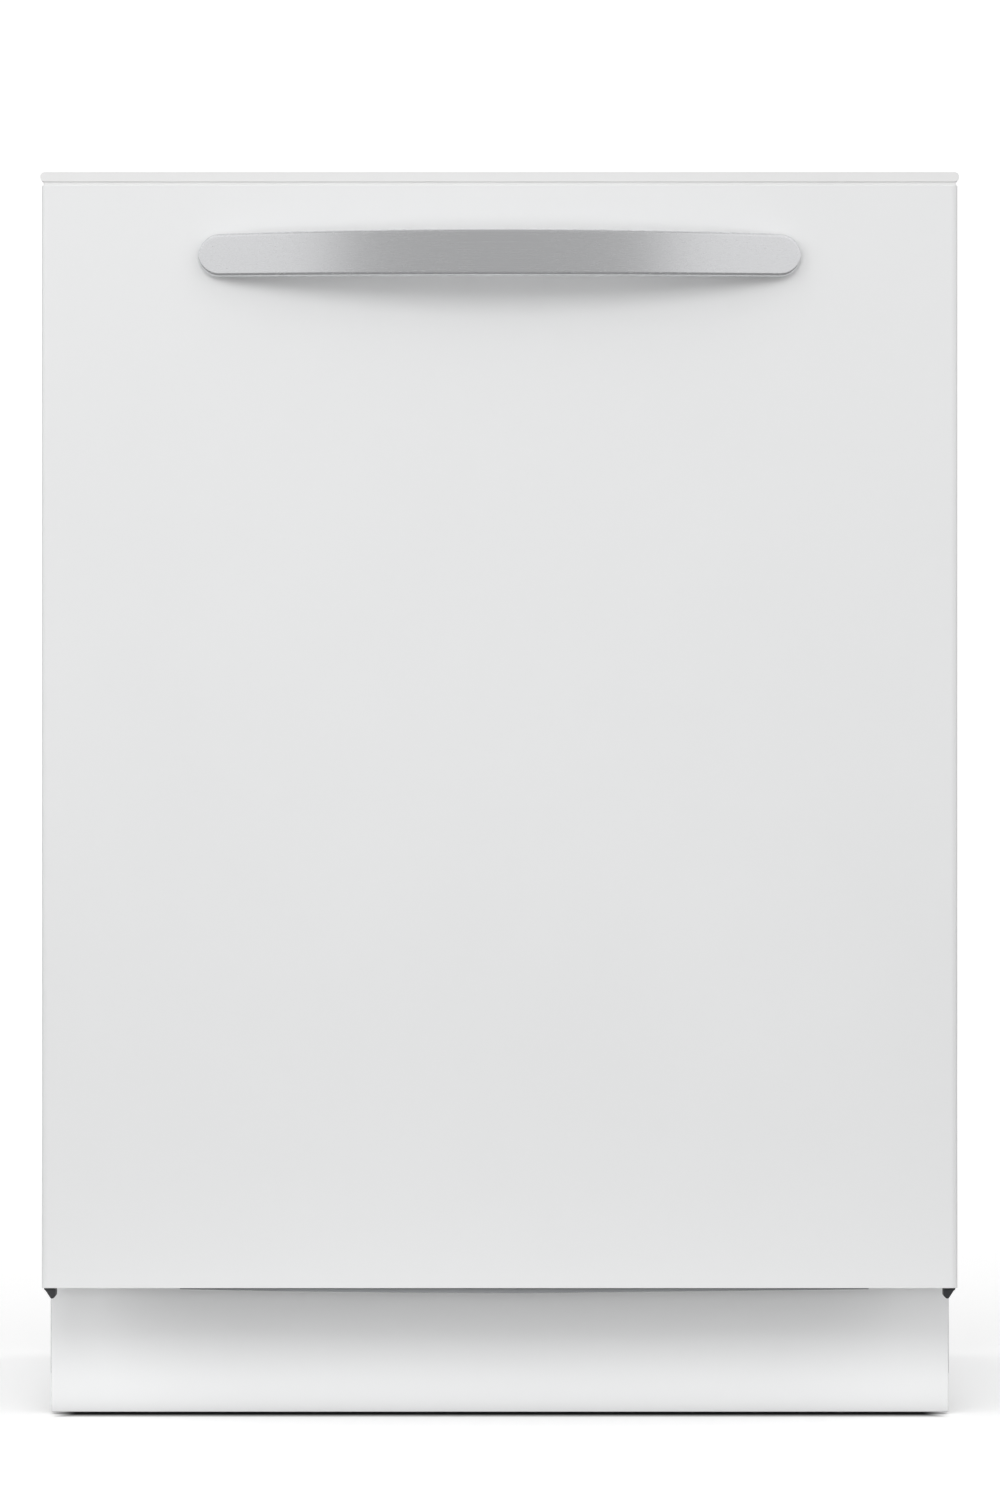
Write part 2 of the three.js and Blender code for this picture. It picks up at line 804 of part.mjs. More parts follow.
// Rubber ring round the tub's mouth.
function tubGasket() {
  const inset = (flangeWidth - gasketWidth) / 2;
  const bottom = flangeBottom + 2;
  const ring = rectangle(bottom, flangeTop - 1, inset - halfFlange, halfFlange - inset, 16);
  const mouth = rectangle(floorZ - 1, tubTop + 1, -halfTub - 2, halfTub + 2, 12);
  const front = linerY + sealGap;
  const whole = prism(ring, "y", front, front + gasketThickness, 4);
  return whole.subtract(prism(mouth, "y", front - 1, front + gasketThickness + 1, 4));
}

function insulationWrap() {
  const low = tubTop + sheet + touch;
  const back = tubBack + sheet + touch;
  const profile = polygon([
    [flangeY + crossRailDepth + 6, low],
    [back, low],
    [back, ledgeZ],
    [back + insulation, ledgeZ],
    [back + insulation, low + insulation],
    [flangeY + crossRailDepth + 6, low + insulation],
  ]);
  return prism(profile, "x", 4 - halfTub, halfTub - 4);
}

const railTop = overallHeight - 4;

// Cross rail over the tub's mouth, an upside-down channel that carries the worktop brackets.
function crossRail() {
  const y = [flangeY + sheet + touch, flangeY + sheet + touch + crossRailDepth];
  const x = [-halfBody, halfBody];
  const z = [flangeTop + touch, railTop];
  const hollow = block([-halfBody - 1, halfBody + 1], [y[0] + sheet, y[1] - sheet], [z[0] - 1, z[1] - sheet]);
  return block(x, y, z).subtract(hollow);
}

// Flat bracket that screws to the underside of a worktop.
function worktopBracket(sign) {
  const y = flangeY + sheet + touch;
  const x = outward(sign, halfTub - 62, halfTub - 62 + bracketSize);
  const plate = block(x, [y + 2, y + 2 + bracketSize + 14], [railTop + touch, railTop + touch + 2]);
  const screwHole = bar("z", 2.5, railTop, railTop + 4, [(x[0] + x[1]) / 2, y + bracketSize + 8], 12);
  return plate.subtract(screwHole);
}

// Hook on the frame that the door lock closes on.
function latchStrike() {
  const y = flangeY + sheet + touch;
  const x = [-strikeWidth / 2, strikeWidth / 2];
  const tongue = block(x, [linerY - 18, y - touch + 0.1], [strikeZ, strikeZ + 2]);
  const riser = block([x[0] - 14, x[1] + 14], [y - touch - 2.4, y - touch], [flangeTop + touch, railTop - 1]);
  const eye = block([x[0] + 6, x[1] - 6], [linerY - 14, linerY - 6], [strikeZ - 1, strikeZ + 3]);
  return cut(tongue.add(riser), [eye]);
}

function sidePanel(sign) {
  const x = outward(sign, halfBody - sheet, halfBody);
  const skin = block(x, [flangeY, rear - 2], [baseFloor, flangeTop - 1]);
  const fold = block(
    outward(sign, halfFlange + 1, halfBody),
    [rear - 2 - sheet, rear - 2],
    [baseFloor + baseSideTop, flangeTop - 1],
  );
  const toeRecess = block(
    outward(sign, halfBody - 2 * sheet, halfBody + 1),
    [flangeY - 1, baseFront - 1],
    [0, doorBottom + 4],
  );
  return skin.add(fold).subtract(toeRecess);
}

// ---- Base ------------------------------------------------------------------------------------

const feet = [
  { name: "foot_front_left", x: -1, y: baseFront + footInset },
  { name: "foot_front_right", x: 1, y: baseFront + footInset },
  { name: "foot_rear_left", x: -1, y: rear - footInset },
  { name: "foot_rear_right", x: 1, y: rear - footInset },
].map((foot) => ({ ...foot, x: foot.x * (halfTub - footInset) }));

const drainX = sumpOffset - sumpRadius - 45;
const pipeZ = 84;
const valveX = 40 - halfTub;

// Moulded tray under the tub, open at the top, with a boss for each foot.
function baseTray() {
  const outer = block([-baseHalf, baseHalf], [baseFront, rear], [baseFloor, baseSideTop]);
  const hollow = block(
    [baseWall - baseHalf, baseHalf - baseWall],
    [baseFront + baseWall, rear - baseWall],
    [baseFloor + baseWall, baseSideTop + 1],
  );
  const bosses = feet.map(({ x, y }) => bar("z", bossRadius, baseFloor, baseFloor + bossHeight, [x, y], 16));
  const bores = feet.map(({ x, y }) =>
    bar("z", footStemRadius + touch, baseFloor - 1, baseFloor + bossHeight + 1, [x, y], 12),
  );
  const slots = sides.map(({ sign }) =>
    block(
      outward(sign, bracketInner - 1, bracketInner + armSheet + 1),
      [baseFront - 1, baseFront + baseWall + 1],
      [hingeZ - eyeRadius - 2, baseSideTop + 1],
    ),
  );
  const drainHole = bar("y", spigotRadius + 1, rear - baseWall - 1, rear + 1, [pipeZ, drainX], 16);
  const inletHole = bar("y", spigotRadius + 1, rear - baseWall - 1, rear + 1, [pipeZ, valveX], 16);
  const tray = join([outer.subtract(hollow), ...bosses]);
  return cut(tray, [...bores, ...slots, drainHole, inletHole]);
}

function toePanel() {
  const half = halfDoor - toeInset;
  const z = [toeClearance, toeTop];
  const whole = block([-half, half], [toeY, toeY + toeReturn], z);
  const hollow = block(
    [sheet - half, half - sheet],
    [toeY + sheet, toeY + toeReturn + 1],
    [z[0] + sheet, z[1] - sheet],
  );
  return whole.subtract(hollow);
}

// Adjustable foot: a pad and the threaded stem that turns up into the base.
function footShape() {
  const pad = bar("z", footPadRadius, 0, footPadHeight, [0, 0], 20);
  const nut = bar("z", footStemRadius + 4, footPadHeight - 1, footPadHeight + 6, [0, 0], 6);
  const stem = bar("z", footStemRadius, footPadHeight, baseFloor + bossHeight + 14, [0, 0], 12);
  return join([pad, nut, stem]);
}

// Fixed hinge bracket with its pin; it stands in the base and reaches forward to the axis.
function hingeBracket(sign) {
  const x = outward(sign, bracketInner, bracketInner + armSheet);
  const reach = block(x, [hingeY, baseFront + bracketRoot], [hingeZ - eyeRadius - 1, hingeZ - 3.4]);
  const boss = bar("x", eyeRadius - 1, x[0], x[1], [hingeY, hingeZ], 16);
  const root = block(
    x,
    [baseFront + baseWall + 6, baseFront + bracketRoot],
    [trayFloor, hingeZ - 4],
  );
  const pinX = outward(sign, bracketInner + 1, armInner + armSheet + 1.5);
  const pin = bar("x", pinRadius, pinX[0], pinX[1], [hingeY, hingeZ], 16);
  const foot = block(
    outward(sign, bracketInner, bracketInner + 18),
    [baseFront + baseWall + 16, baseFront + bracketRoot],
    [trayFloor, trayFloor + armSheet],
  );
  return join([reach, boss, root, pin, foot]);
}

// Counterbalance spring beside the tub, a barrel of close coils with a hook at each end.
function doorSpring() {
  const coil = bar("y", springRadius, 0, springLength, [0, 0], 12);
  const bore = bar("y", springRadius - 2.2, -1, springLength + 1, [0, 0], 12);
  const hooks = [-14, springLength - 2].map((y) =>
    block([-1.1, 1.1], [y, y + 16], [-springRadius, springRadius - 2]),
  );
  return join([coil.subtract(bore), ...hooks]);
}

addPart(body, "tub", tubShell(), "tubSteel");
addPart(body, "tub_gasket", tubGasket(), "rubber");
addPart(body, "insulation_wrap", insulationWrap(), "felt");
addPart(body, "cross_rail", crossRail(), "zincSteel");
addPart(body, "latch_strike", latchStrike(), "zincSteel");
addPart(body, "base_tray", baseTray(), "darkPlastic");
addPart(body, "toe_panel", toePanel(), "whitePaint");
sides.forEach(({ word, sign }) => {
  addPart(body, "worktop_bracket_" + word, worktopBracket(sign), "zincSteel");
  addPart(body, "side_panel_" + word, sidePanel(sign), "zincSteel");
  addPart(body, "hinge_bracket_" + word, hingeBracket(sign), "zincSteel");
  const springPlace = [sign * (halfTub + 6), baseFront + 120, baseFloor + 60];
  addPart(body, "door_spring_" + word, doorSpring(), "zincSteel", springPlace);
});
feet.forEach(({ name, x, y }) => addPart(body, name, footShape(), "darkPlastic", [x, y, 0]));

// ---- Wash system -----------------------------------------------------------------------------

const sumpX = sumpOffset;
const sumpY = tubMiddle + sumpOffset;
const filterX = filterOffset;
const filterY = tubMiddle + filterOffset;
const armZ = ledgeZ + lowerArmHeight;

// Cup under the tub floor, with the post that carries the lower spray arm.
function sump() {
  const cup = bar("z", sumpRadius, sumpBottom, floorZ - 0.5, [sumpX, sumpY], 32);
  const hollow = bar("z", sumpRadius - 3, sumpBottom + 3, floorZ + 1, [sumpX, sumpY], 32);
  const rimTop = floorZ - sheet - touch;
  const rim = bar("z", sumpRadius + sumpRim, rimTop - 3, rimTop, [sumpX, sumpY], 32);
  const rimHole = bar("z", sumpRadius - 3, floorZ - 8, floorZ, [sumpX, sumpY], 32);
  const post = bar("z", postRadius, sumpBottom + 2, armZ - touch, [0, tubMiddle], 20);
  const journal = bar("z", postRadius - journalStep, armZ - 1, armZ + armThickness + 4, [0, tubMiddle], 16);
  return join([cup.subtract(hollow), rim.subtract(rimHole), post, journal]);
}

function filterPlate() {
  const plate = bar("z", sumpRadius + sumpRim, floorZ + touch, floorZ + 2, [sumpX, sumpY], 32);
  const postHole = bar("z", postRadius + 0.6, floorZ - 1, floorZ + 4, [0, tubMiddle], 20);
  const filterHole = bar("z", filterRadius + 0.6, floorZ - 1, floorZ + 4, [filterX, filterY], 28);
  return cut(plate, [postHole, filterHole]);
}

// Cylindrical filter with a collar and a grip across its mouth; it turns to unlock.
function filterCup() {
  const top = ledgeZ - 6;
  const tube = bar("z", filterRadius, sumpBottom + 14, floorZ + 12, [0, 0], 24);
  const hollow = bar("z", filterRadius - 2.5, sumpBottom + 17, floorZ + 13, [0, 0], 24);
  const grip = block([-filterRadius + 1.5, filterRadius - 1.5], [-2, 2], [floorZ + 2, top]);
  return join([tube.subtract(hollow), grip]);
}

// Spray arm about its own axis, pointed a little at both ends, hollow hub bore below.
function sprayArm(radius, boreRadius) {
  const half = armWidth / 2;
  const outline = new THREE.Shape();
  outline.moveTo(radius - 16, -12);
  outline.quadraticCurveTo(radius, 0, radius - 16, 12);
  outline.lineTo(60, half);
  outline.absarc(0, 0, half + 9, 0.55, Math.PI - 0.55);
  outline.lineTo(-60, half);
  outline.lineTo(16 - radius, 12);
  outline.quadraticCurveTo(-radius, 0, 16 - radius, -12);
  outline.lineTo(-60, -half);
  outline.absarc(0, 0, half + 9, Math.PI + 0.55, Math.PI * 2 - 0.55);
  outline.lineTo(60, -half);
  const blade = prism(outline, "z", 0, armThickness, 5);
  return blade.subtract(bar("z", boreRadius, -1, armThickness + 1, [0, 0], 20));
}

// Flat duct up the rear wall, with a docking mouth for the upper arm and a spray head on top.
const dockZ = upperBottom - dockDrop;
const ductFront = tubBack - touch - feedTubeDepth;

function feedTube() {
  const half = feedTubeWidth / 2;
  const riser = block([-half, half], [ductFront, tubBack - touch], [floorZ + touch, tubTop - touch]);
  const dock = bar("y", 13, ductFront - 4, ductFront + 4, [dockZ, 0], 16);
  const roof = block([-half, half], [tubMiddle, tubBack - touch], [tubTop - touch - 16, tubTop - touch]);
  const head = bar("z", 38, tubTop - touch - 22, tubTop - touch, [0, tubMiddle], 24);
  const mouth = bar("y", 9, ductFront - 6, ductFront + 8, [dockZ, 0], 12);
  return cut(join([riser, dock, roof, head]), [mouth]);
}

// Bell of the overflow float on its guide stem.
function floatBell() {
  const bell = bar("z", floatRadius, floorZ + touch, ledgeZ - 8, [0, 0], 20);
  const hollow = bar("z", floatRadius - 2, floorZ - 1, ledgeZ - 11, [0, 0], 20);
  return bell.subtract(hollow);
}

function circulationPump() {
  const z = sumpBottom + 34;
  const start = sumpX + sumpRadius + touch;
  const snout = bar("x", 18, start + 4, start + 20, [sumpY, z], 16);
  const motor = bar("x", pumpRadius, start + 16, start + 16 + pumpLength, [sumpY, z], 24);
  const foot = block([start + 30, start + 80], [sumpY - 22, sumpY + 22], [trayFloor, z - pumpRadius / 2]);
  return join([snout, motor, foot]);
}

function drainPump() {
  const start = sumpX - sumpRadius - touch;
  const motor = bar("x", drainRadius, start - 14 - drainLength, start - 14, [sumpY, pipeZ], 20);
  const snout = bar("x", 12, start - 16, start - 4, [sumpY, pipeZ], 12);
  const pipe = bar("y", spigotRadius, sumpY, rear - 0.5, [pipeZ, drainX], 16);
  const barb = bar("y", spigotRadius - 3, rear - 30, rear, [pipeZ, drainX], 16);
  return cut(join([motor, snout, pipe]), [barb]);
}

function inletValve() {
  const casing = block(
    [valveX - 22, valveX + 22],
    [rear - 95, rear - 45],
    [trayFloor, pipeZ + 24],
  );
  const spigot = bar("y", spigotRadius, rear - 50, rear - 0.5, [pipeZ, valveX], 16);
  const throat = bar("y", spigotRadius - 3, rear - 30, rear, [pipeZ, valveX], 16);
  return cut(casing.add(spigot), [throat]);
}

addPart(body, "sump", sump(), "darkPlastic");
addPart(body, "filter_plate", filterPlate(), "brushedSteel");
addPart(body, "filter_cup", filterCup(), "greyPlastic", [filterX, filterY, 0]);
const lowerArm = sprayArm(lowerArmRadius, postRadius - journalStep + journalPlay);
addPart(body, "lower_spray_arm", lowerArm, "greyPlastic", [0, tubMiddle, armZ]);
addPart(body, "feed_tube", feedTube(), "greyPlastic");
addPart(body, "float_bell", floatBell(), "greyPlastic", [72 - halfTub, flangeY + 58, 0]);
addPart(body, "circulation_pump", circulationPump(), "darkPlastic");
addPart(body, "drain_pump", drainPump(), "darkPlastic");
addPart(body, "inlet_valve", inletValve(), "whitePlastic");

// ---- Lower rack ------------------------------------------------------------------------------

const lowerRack = subgroup("lower_rack_group");
const halfGrid = halfTub - lowerRackInset;
const halfStep = halfGrid + 6;
const halfRim = halfTub - lowerRimInset;
const gridZ = rackBottom + wire / 2;
const shoulderZ = ledgeZ + 2 * wheelRadius + 12;
const lowerRimZ = rackBottom + lowerRackHeight - hoopWire / 2;
const wheelY = [rackFront + wheelInset, rackRear - wheelInset];
const wheelX = halfGrid + 12;
const axleZ = ledgeZ + wheelRadius + touch;
const foldY = rackFront + 200;
const foldZ = gridZ + wire + touch;

function lowerRackShape() {
  const y = [rackFront + hoopWire / 2, rackRear - hoopWire / 2];
  const across = spaced(y[0] + 30, y[1] - 30, 5).map((at) =>
    bentWire("y", at, [
      [lowerRimZ, -halfRim],
      [shoulderZ, -halfRim],
      [shoulderZ, -halfStep],
      [gridZ - crossing, -halfStep],
      [gridZ - crossing, halfStep],
      [shoulderZ, halfStep],
      [shoulderZ, halfRim],
      [lowerRimZ, halfRim],
    ]),
  );
  const along = spaced(-halfGrid, halfGrid, 5).map((x) =>
    bentWire("x", x, [[y[0], lowerRimZ], [y[0], gridZ], [y[1], gridZ], [y[1], lowerRimZ]]),
  );
  const hoops = [lowerRimZ, (shoulderZ + lowerRimZ) / 2].map((z) => hoop(halfRim, ...y, z));
  const tineX = spaced(60 - halfGrid, halfGrid - 60, 6);
  const rows = [rackFront + 150, rackRear - 60].map((at) =>
    comb("y", at, -halfGrid, halfGrid, gridZ - crossing, tineX, tineHeight),
  );
  const hangers = sides.flatMap(({ sign }) =>
    wheelY.flatMap((at) => [
      block(outward(sign, halfGrid - 4, halfGrid + 4), [at - 9, at + 9], [axleZ - 6, rackBottom + 16]),
      bar("x", axleRadius, ...outward(sign, halfGrid, wheelX + wheelWidth / 2 + 4), [at, axleZ], 8),
    ]),
  );
  const clips = [-clipX, clipX].flatMap((x) => [
    bentWire("x", x, [[foldY - 30, gridZ], [foldY + 30, gridZ]]),
    block([x - 4, x + 4], [foldY - 6, foldY - wire / 2 - touch], [gridZ - 1, foldZ + 5]),
    block([x - 4, x + 4], [foldY + wire / 2 + touch, foldY + 6], [gridZ - 1, foldZ + 5]),
  ]);
  return join([...hoops, ...across, ...along, ...rows, ...hangers, ...clips]);
}

// Plate tines on one round rod, folding down towards the rear.
function foldTines() {
  const rod = bar("x", wire / 2, -clipX - 12, clipX + 12, [0, 0], 8);
  const half = wire / 2 - 0.3;
  const tines = spaced(-clipX + 24, clipX - 24, 8).map((x) =>
    block([x - half, x + half], [-half, half], [0, tineHeight]),
  );
  return join([rod, ...tines]);
}

function wheelShape() {
  const disc = bar("x", wheelRadius, -wheelWidth / 2, wheelWidth / 2, [0, 0], 20);
  const bore = bar("x", axleRadius + touch, -wheelWidth, wheelWidth, [0, 0], 8);
  const dish = bar("x", wheelRadius - 4, wheelWidth / 2 - 2, wheelWidth, [0, 0], 16);
  const hub = bar("x", axleRadius + 3, 0, wheelWidth / 2, [0, 0], 12);
  return cut(disc.subtract(dish).add(hub), [bore]);
}

// Cutlery basket: four open cells and a bail handle over the middle wall.
function cutleryBasket() {
  const half = basketWidth / 2;
  const z = [0, basketHeight];
  const cellWidth = (basketWidth - 5 * basketWall) / 4;
  const cells = [0, 1, 2, 3].map((i) => {
    const start = basketWall - half + i * (cellWidth + basketWall);
    return block([start, start + cellWidth], [basketWall, basketDepth - basketWall], [basketWall, z[1] + 1]);
  });
  const whole = cut(block([-half, half], [0, basketDepth], z), cells);
  const y = [basketDepth / 2 - 5, basketDepth / 2 + 5];
  const wall = basketWall / 2;
  const posts = [-1, 1].map((side) => {
    const at = side * (half - wall);
    return block([at - wall, at + wall], y, [z[1] - 10, z[1] + bailHeight - 2]);
  });
  const bail = block([-half, half], y, [z[1] + bailHeight - 6, z[1] + bailHeight]);
  return join([whole, ...posts, bail]);
}

addPart(lowerRack, "lower_rack", lowerRackShape(), "wireCoat");
addPart(lowerRack, "folding_tines", foldTines(), "wireCoat", [0, foldY, foldZ]);
const basketPlace = [0, rackFront + basketInset, rackBottom + wire + touch];
addPart(lowerRack, "cutlery_basket", cutleryBasket(), "greyPlastic", basketPlace);
[["front", wheelY[0]], ["rear", wheelY[1]]].forEach(([end, y]) => {
  sides.forEach(({ word, sign }) => {
    const place = [sign * wheelX, y, axleZ];
    addPart(lowerRack, "wheel_" + end + "_" + word, wheelShape(), "greyPlastic", place);
  });
});

// ---- Upper rack ------------------------------------------------------------------------------

const upperRack = subgroup("upper_rack_group");
const upperRear = rackRear;
const upperGridZ = upperBottom + wire / 2;
const upperRimZ = upperTop - hoopWire / 2;
const shelfZ = upperBottom + shelfAboveRack;
const shelfAxisX = halfUpper - 9;
const railZ = upperBottom + shelfAboveRack - 4;

function upperRackShape() {
  const y = [upperFront + hoopWire / 2, upperRear - hoopWire / 2];
  const half = halfUpper - hoopWire / 2;
  const level = upperGridZ + crossing;
  const across = spaced(y[0] + 30, y[1] - 30, 5).map((at) =>
    bentWire("y", at, [[upperRimZ, -half], [upperGridZ, -half], [upperGridZ, half], [upperRimZ, half]]),
  );
  const along = spaced(36 - half, half - 36, 4).map((x) =>
    bentWire("x", x, [[y[0], upperRimZ], [y[0], level], [y[1], level], [y[1], upperRimZ]]),
  );
  const middleZ = (upperGridZ + upperRimZ) / 2;
  const hoops = [upperRimZ, middleZ].map((z) => hoop(half, ...y, z));
  const tineY = spaced(y[0] + 60, y[1] - 60, 6);
  const rows = [-cupTineX, cupTineX].map((x) =>
    comb("x", x, y[0] + 20, y[1] - 20, level, tineY, cupTineHeight),
  );
  const runners = sides.flatMap(({ sign }) => [
    block(
      outward(sign, halfUpper + 2, halfUpper + 8),
      [upperFront + 20, upperRear],
      [railZ, railZ + runnerHeight],
    ),
    ...[y[0] + 40, y[1] - 40].map((at) =>
      block(outward(sign, half - 1, halfUpper + 3), [at - 10, at + 10], [middleZ, railZ + runnerHeight - 2]),
    ),
  ]);
  const hub = bar("z", upperHub, dockZ - 2, upperGridZ + 1, [0, tubMiddle], 20);
  const hubPlate = block([-62, 62], [tubMiddle - 14, tubMiddle + 14], [upperGridZ - 1.4, upperGridZ + 1.4]);
  const journal = bar("z", upperHub - hubStep, dockZ - 14 - armThickness, dockZ, [0, tubMiddle], 16);
  const duct = block([-11, 11], [tubMiddle, ductFront - 5], [dockZ - 8, dockZ + 8]);
  const hanger = block([-9, 9], [y[1] - 60, y[1] - 24], [dockZ, upperGridZ + 1]);
  return join([...hoops, ...across, ...along, ...rows, ...runners, hub, journal, duct, hanger, hubPlate]);
}

function upperRail(sign) {
  const channel = block(
    outward(sign, halfUpper + 5, halfTub - touch),
    [flangeY + 14, rackRear],
    [railZ - 5, railZ + railHeight],
  );
  const slot = block(
    outward(sign, halfUpper + 1, halfUpper + 8 + runnerPlay),
    [flangeY, rackRear + 1],
    [railZ - runnerPlay, railZ + runnerHeight + runnerPlay],
  );
  return channel.subtract(slot);
}

// Slatted shelf for cups, hinged along the side of the upper rack.
function cupShelf(sign) {
  const x = outward(-sign, 0, shelfWidth);
  const plate = block(x, [0, shelfLength], [-shelfThickness / 2, shelfThickness / 2]);
  const slots = spaced(18, shelfLength - 46, 6).map((at) =>
    block(outward(-sign, 12, shelfWidth - 12), [at, at + 28], [-shelfThickness, shelfThickness]),
  );
  const barrel = bar("y", 3.2, 0, shelfLength, [0, 0], 12);
  return cut(plate.add(barrel), slots);
}

const upperArmZ = dockZ - 10 - armThickness - touch;
addPart(upperRack, "upper_rack", upperRackShape(), "wireCoat");
const upperArm = sprayArm(upperArmRadius, upperHub - hubStep + journalPlay);
addPart(upperRack, "upper_spray_arm", upperArm, "greyPlastic", [0, tubMiddle, upperArmZ]);
sides.forEach(({ word, sign }) => {
  addPart(body, "upper_rail_" + word, upperRail(sign), "zincSteel");
  const shelfPlace = [sign * shelfAxisX, upperFront + 60, shelfZ];
  addPart(upperRack, "cup_shelf_" + word, cupShelf(sign), "greyPlastic", shelfPlace);
});

export default group;
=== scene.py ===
"""A built-in dishwasher: finishes, detailed pieces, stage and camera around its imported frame."""

import json
import math

import bmesh
import bpy
from mathutils import Matrix, Vector


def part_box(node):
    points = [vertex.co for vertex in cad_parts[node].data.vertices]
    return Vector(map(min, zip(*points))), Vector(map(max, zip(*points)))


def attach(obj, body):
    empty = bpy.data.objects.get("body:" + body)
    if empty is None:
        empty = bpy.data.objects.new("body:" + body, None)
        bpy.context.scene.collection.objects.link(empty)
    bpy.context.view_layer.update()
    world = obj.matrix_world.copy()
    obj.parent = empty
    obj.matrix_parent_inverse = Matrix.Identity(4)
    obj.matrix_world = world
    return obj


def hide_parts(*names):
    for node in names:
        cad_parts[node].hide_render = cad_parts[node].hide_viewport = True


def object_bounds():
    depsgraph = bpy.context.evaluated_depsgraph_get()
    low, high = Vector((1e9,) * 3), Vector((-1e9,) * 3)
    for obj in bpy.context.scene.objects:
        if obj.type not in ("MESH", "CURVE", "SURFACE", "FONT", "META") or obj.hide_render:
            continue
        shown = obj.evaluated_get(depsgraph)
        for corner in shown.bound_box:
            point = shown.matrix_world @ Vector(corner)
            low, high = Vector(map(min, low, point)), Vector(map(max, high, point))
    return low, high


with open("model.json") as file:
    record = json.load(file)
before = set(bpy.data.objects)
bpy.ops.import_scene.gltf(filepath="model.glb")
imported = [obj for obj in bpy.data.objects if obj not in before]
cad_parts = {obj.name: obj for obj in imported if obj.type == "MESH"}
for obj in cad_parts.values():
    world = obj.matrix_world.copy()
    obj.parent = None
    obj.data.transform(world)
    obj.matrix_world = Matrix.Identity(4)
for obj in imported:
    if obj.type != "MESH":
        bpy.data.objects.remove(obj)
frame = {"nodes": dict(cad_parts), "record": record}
frame_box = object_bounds()

bl_info = {
    "name": "Built-in Dishwasher",
    "version": (1, 0, 0),
    "blender": (4, 5, 0),
    "location": "3D View > Sidebar > Dishwasher",
    "description": "Builds the visible pieces and finishes of a built-in dishwasher",
    "category": "Object",
}

MM = 0.001
BODY_OF = {node: body for body, nodes in frame["record"]["behaviour"]["bodies"].items() for node in nodes}
SLOT_OF = {entry["node"]: entry["material_slot"] for entry in frame["record"]["subparts"]}
SIDES = {"left": -1, "right": 1}
ENDS = [end + "_" + side for end in ("front", "rear") for side in SIDES]
WHEELS = ["wheel_" + end for end in ENDS]
FEET = ["foot_" + end for end in ENDS]
UP = (0, 0, 1)
PIVOT = 0.2 * MM  # how near its axis a turned shape starts


# ---- Sizes and colours a user would change ---------------------------------------------------


def length(name, description, default):
    return bpy.props.FloatProperty(name=name, description=description, default=default, unit="LENGTH")


def tint_of(name, description, default):
    return bpy.props.FloatVectorProperty(
        name=name, description=description, default=default, size=3, subtype="COLOR", min=0.0, max=1.0
    )


class DishwasherSizes(bpy.types.PropertyGroup):
    """Sizes of the details that the frame leaves open."""

    wire_radius: length("Wire radius", "Radius of a coated rack wire", 0.0019)
    rim_radius: length("Rim radius", "Radius of a rack's rim wire", 0.0024)
    wire_bend: length("Wire bend", "Bend radius where a rack wire turns a corner", 0.008)
    handle_round: length("Handle edge", "Rounding of the handle's long edges", 0.0022)
    spring_turns: bpy.props.IntProperty(
        name="Spring turns", description="Turns of each door spring", default=34, min=4
    )


class DishwasherColours(bpy.types.PropertyGroup):
    """Base colours of the finishes."""

    enamel: tint_of("Enamel", "Painted door and toe panel", (0.845, 0.85, 0.853))
    strip: tint_of("Console", "Moulded control strip", (0.83, 0.83, 0.828))
    handle: tint_of("Handle steel", "Brushed steel of the handle", (0.83, 0.835, 0.85))
    tub: tint_of("Tub steel", "Pressed stainless sheet", (0.74, 0.745, 0.75))
    zinc: tint_of("Zinc", "Zinc plated sheet", (0.62, 0.635, 0.65))
    dark: tint_of("Dark plastic", "Base, sump and caps", (0.035, 0.036, 0.04))
    grey: tint_of("Grey plastic", "Spray arms and baskets", (0.27, 0.285, 0.30))
    wire: tint_of("Wire coat", "Nylon coat of the racks", (0.50, 0.52, 0.54))


def sizes():
    return bpy.context.scene.dishwasher_sizes


def colours():
    return bpy.context.scene.dishwasher_colours


# ---- Node tree helpers -----------------------------------------------------------------------


class Tree:
    """Short ways to add and join nodes in a shader or geometry tree."""

    def __init__(self, tree):
        self.tree = tree

    def add(self, kind, settings=None, **inputs):
        node = self.tree.nodes.new(kind)
        for name, value in (settings or {}).items():
            setattr(node, name, value)
        for name, value in inputs.items():
            self.put(node, name.replace("_", " "), value)
        return node

    def put(self, node, name, value):
        socket = node.inputs[int(name)] if name.isdigit() else node.inputs[name]
        if isinstance(value, bpy.types.NodeSocket):
            self.tree.links.new(value, socket)
        else:
            socket.default_value = value

    def math(self, operation, first, second=0.0):
        node = self.tree.nodes.new("ShaderNodeMath")
        node.operation = operation
        self.put(node, "0", first)
        self.put(node, "1", second)
        return node.outputs[0]

    def blend(self, factor, first, second):
        node = self.tree.nodes.new("ShaderNodeMix")
        node.data_type = "RGBA"
        self.put(node, "0", factor)
        self.put(node, "6", first)
        self.put(node, "7", second)
        return node.outputs[2]

    def ramp(self, value, low, high, out_low=0.0, out_high=1.0):
        node = self.tree.nodes.new("ShaderNodeMapRange")
        node.interpolation_type = "SMOOTHSTEP"
        for name, given in (("0", value), ("1", low), ("2", high), ("3", out_low), ("4", out_high)):
            self.put(node, name, given)
        return node.outputs[0]

    def place(self):
        """The place on the piece, in its own coordinates."""
        return self.add("ShaderNodeTexCoord").outputs["Object"]

    def relief(self, shader, strength, distance, height):
        bump = self.add("ShaderNodeBump", Strength=strength, Distance=distance, Height=height)
        self.put(shader, "Normal", bump.outputs[0])


def rgba(colour):
    return (colour[0], colour[1], colour[2], 1.0)


def shade(value):
    return (value, value, value, 1.0)


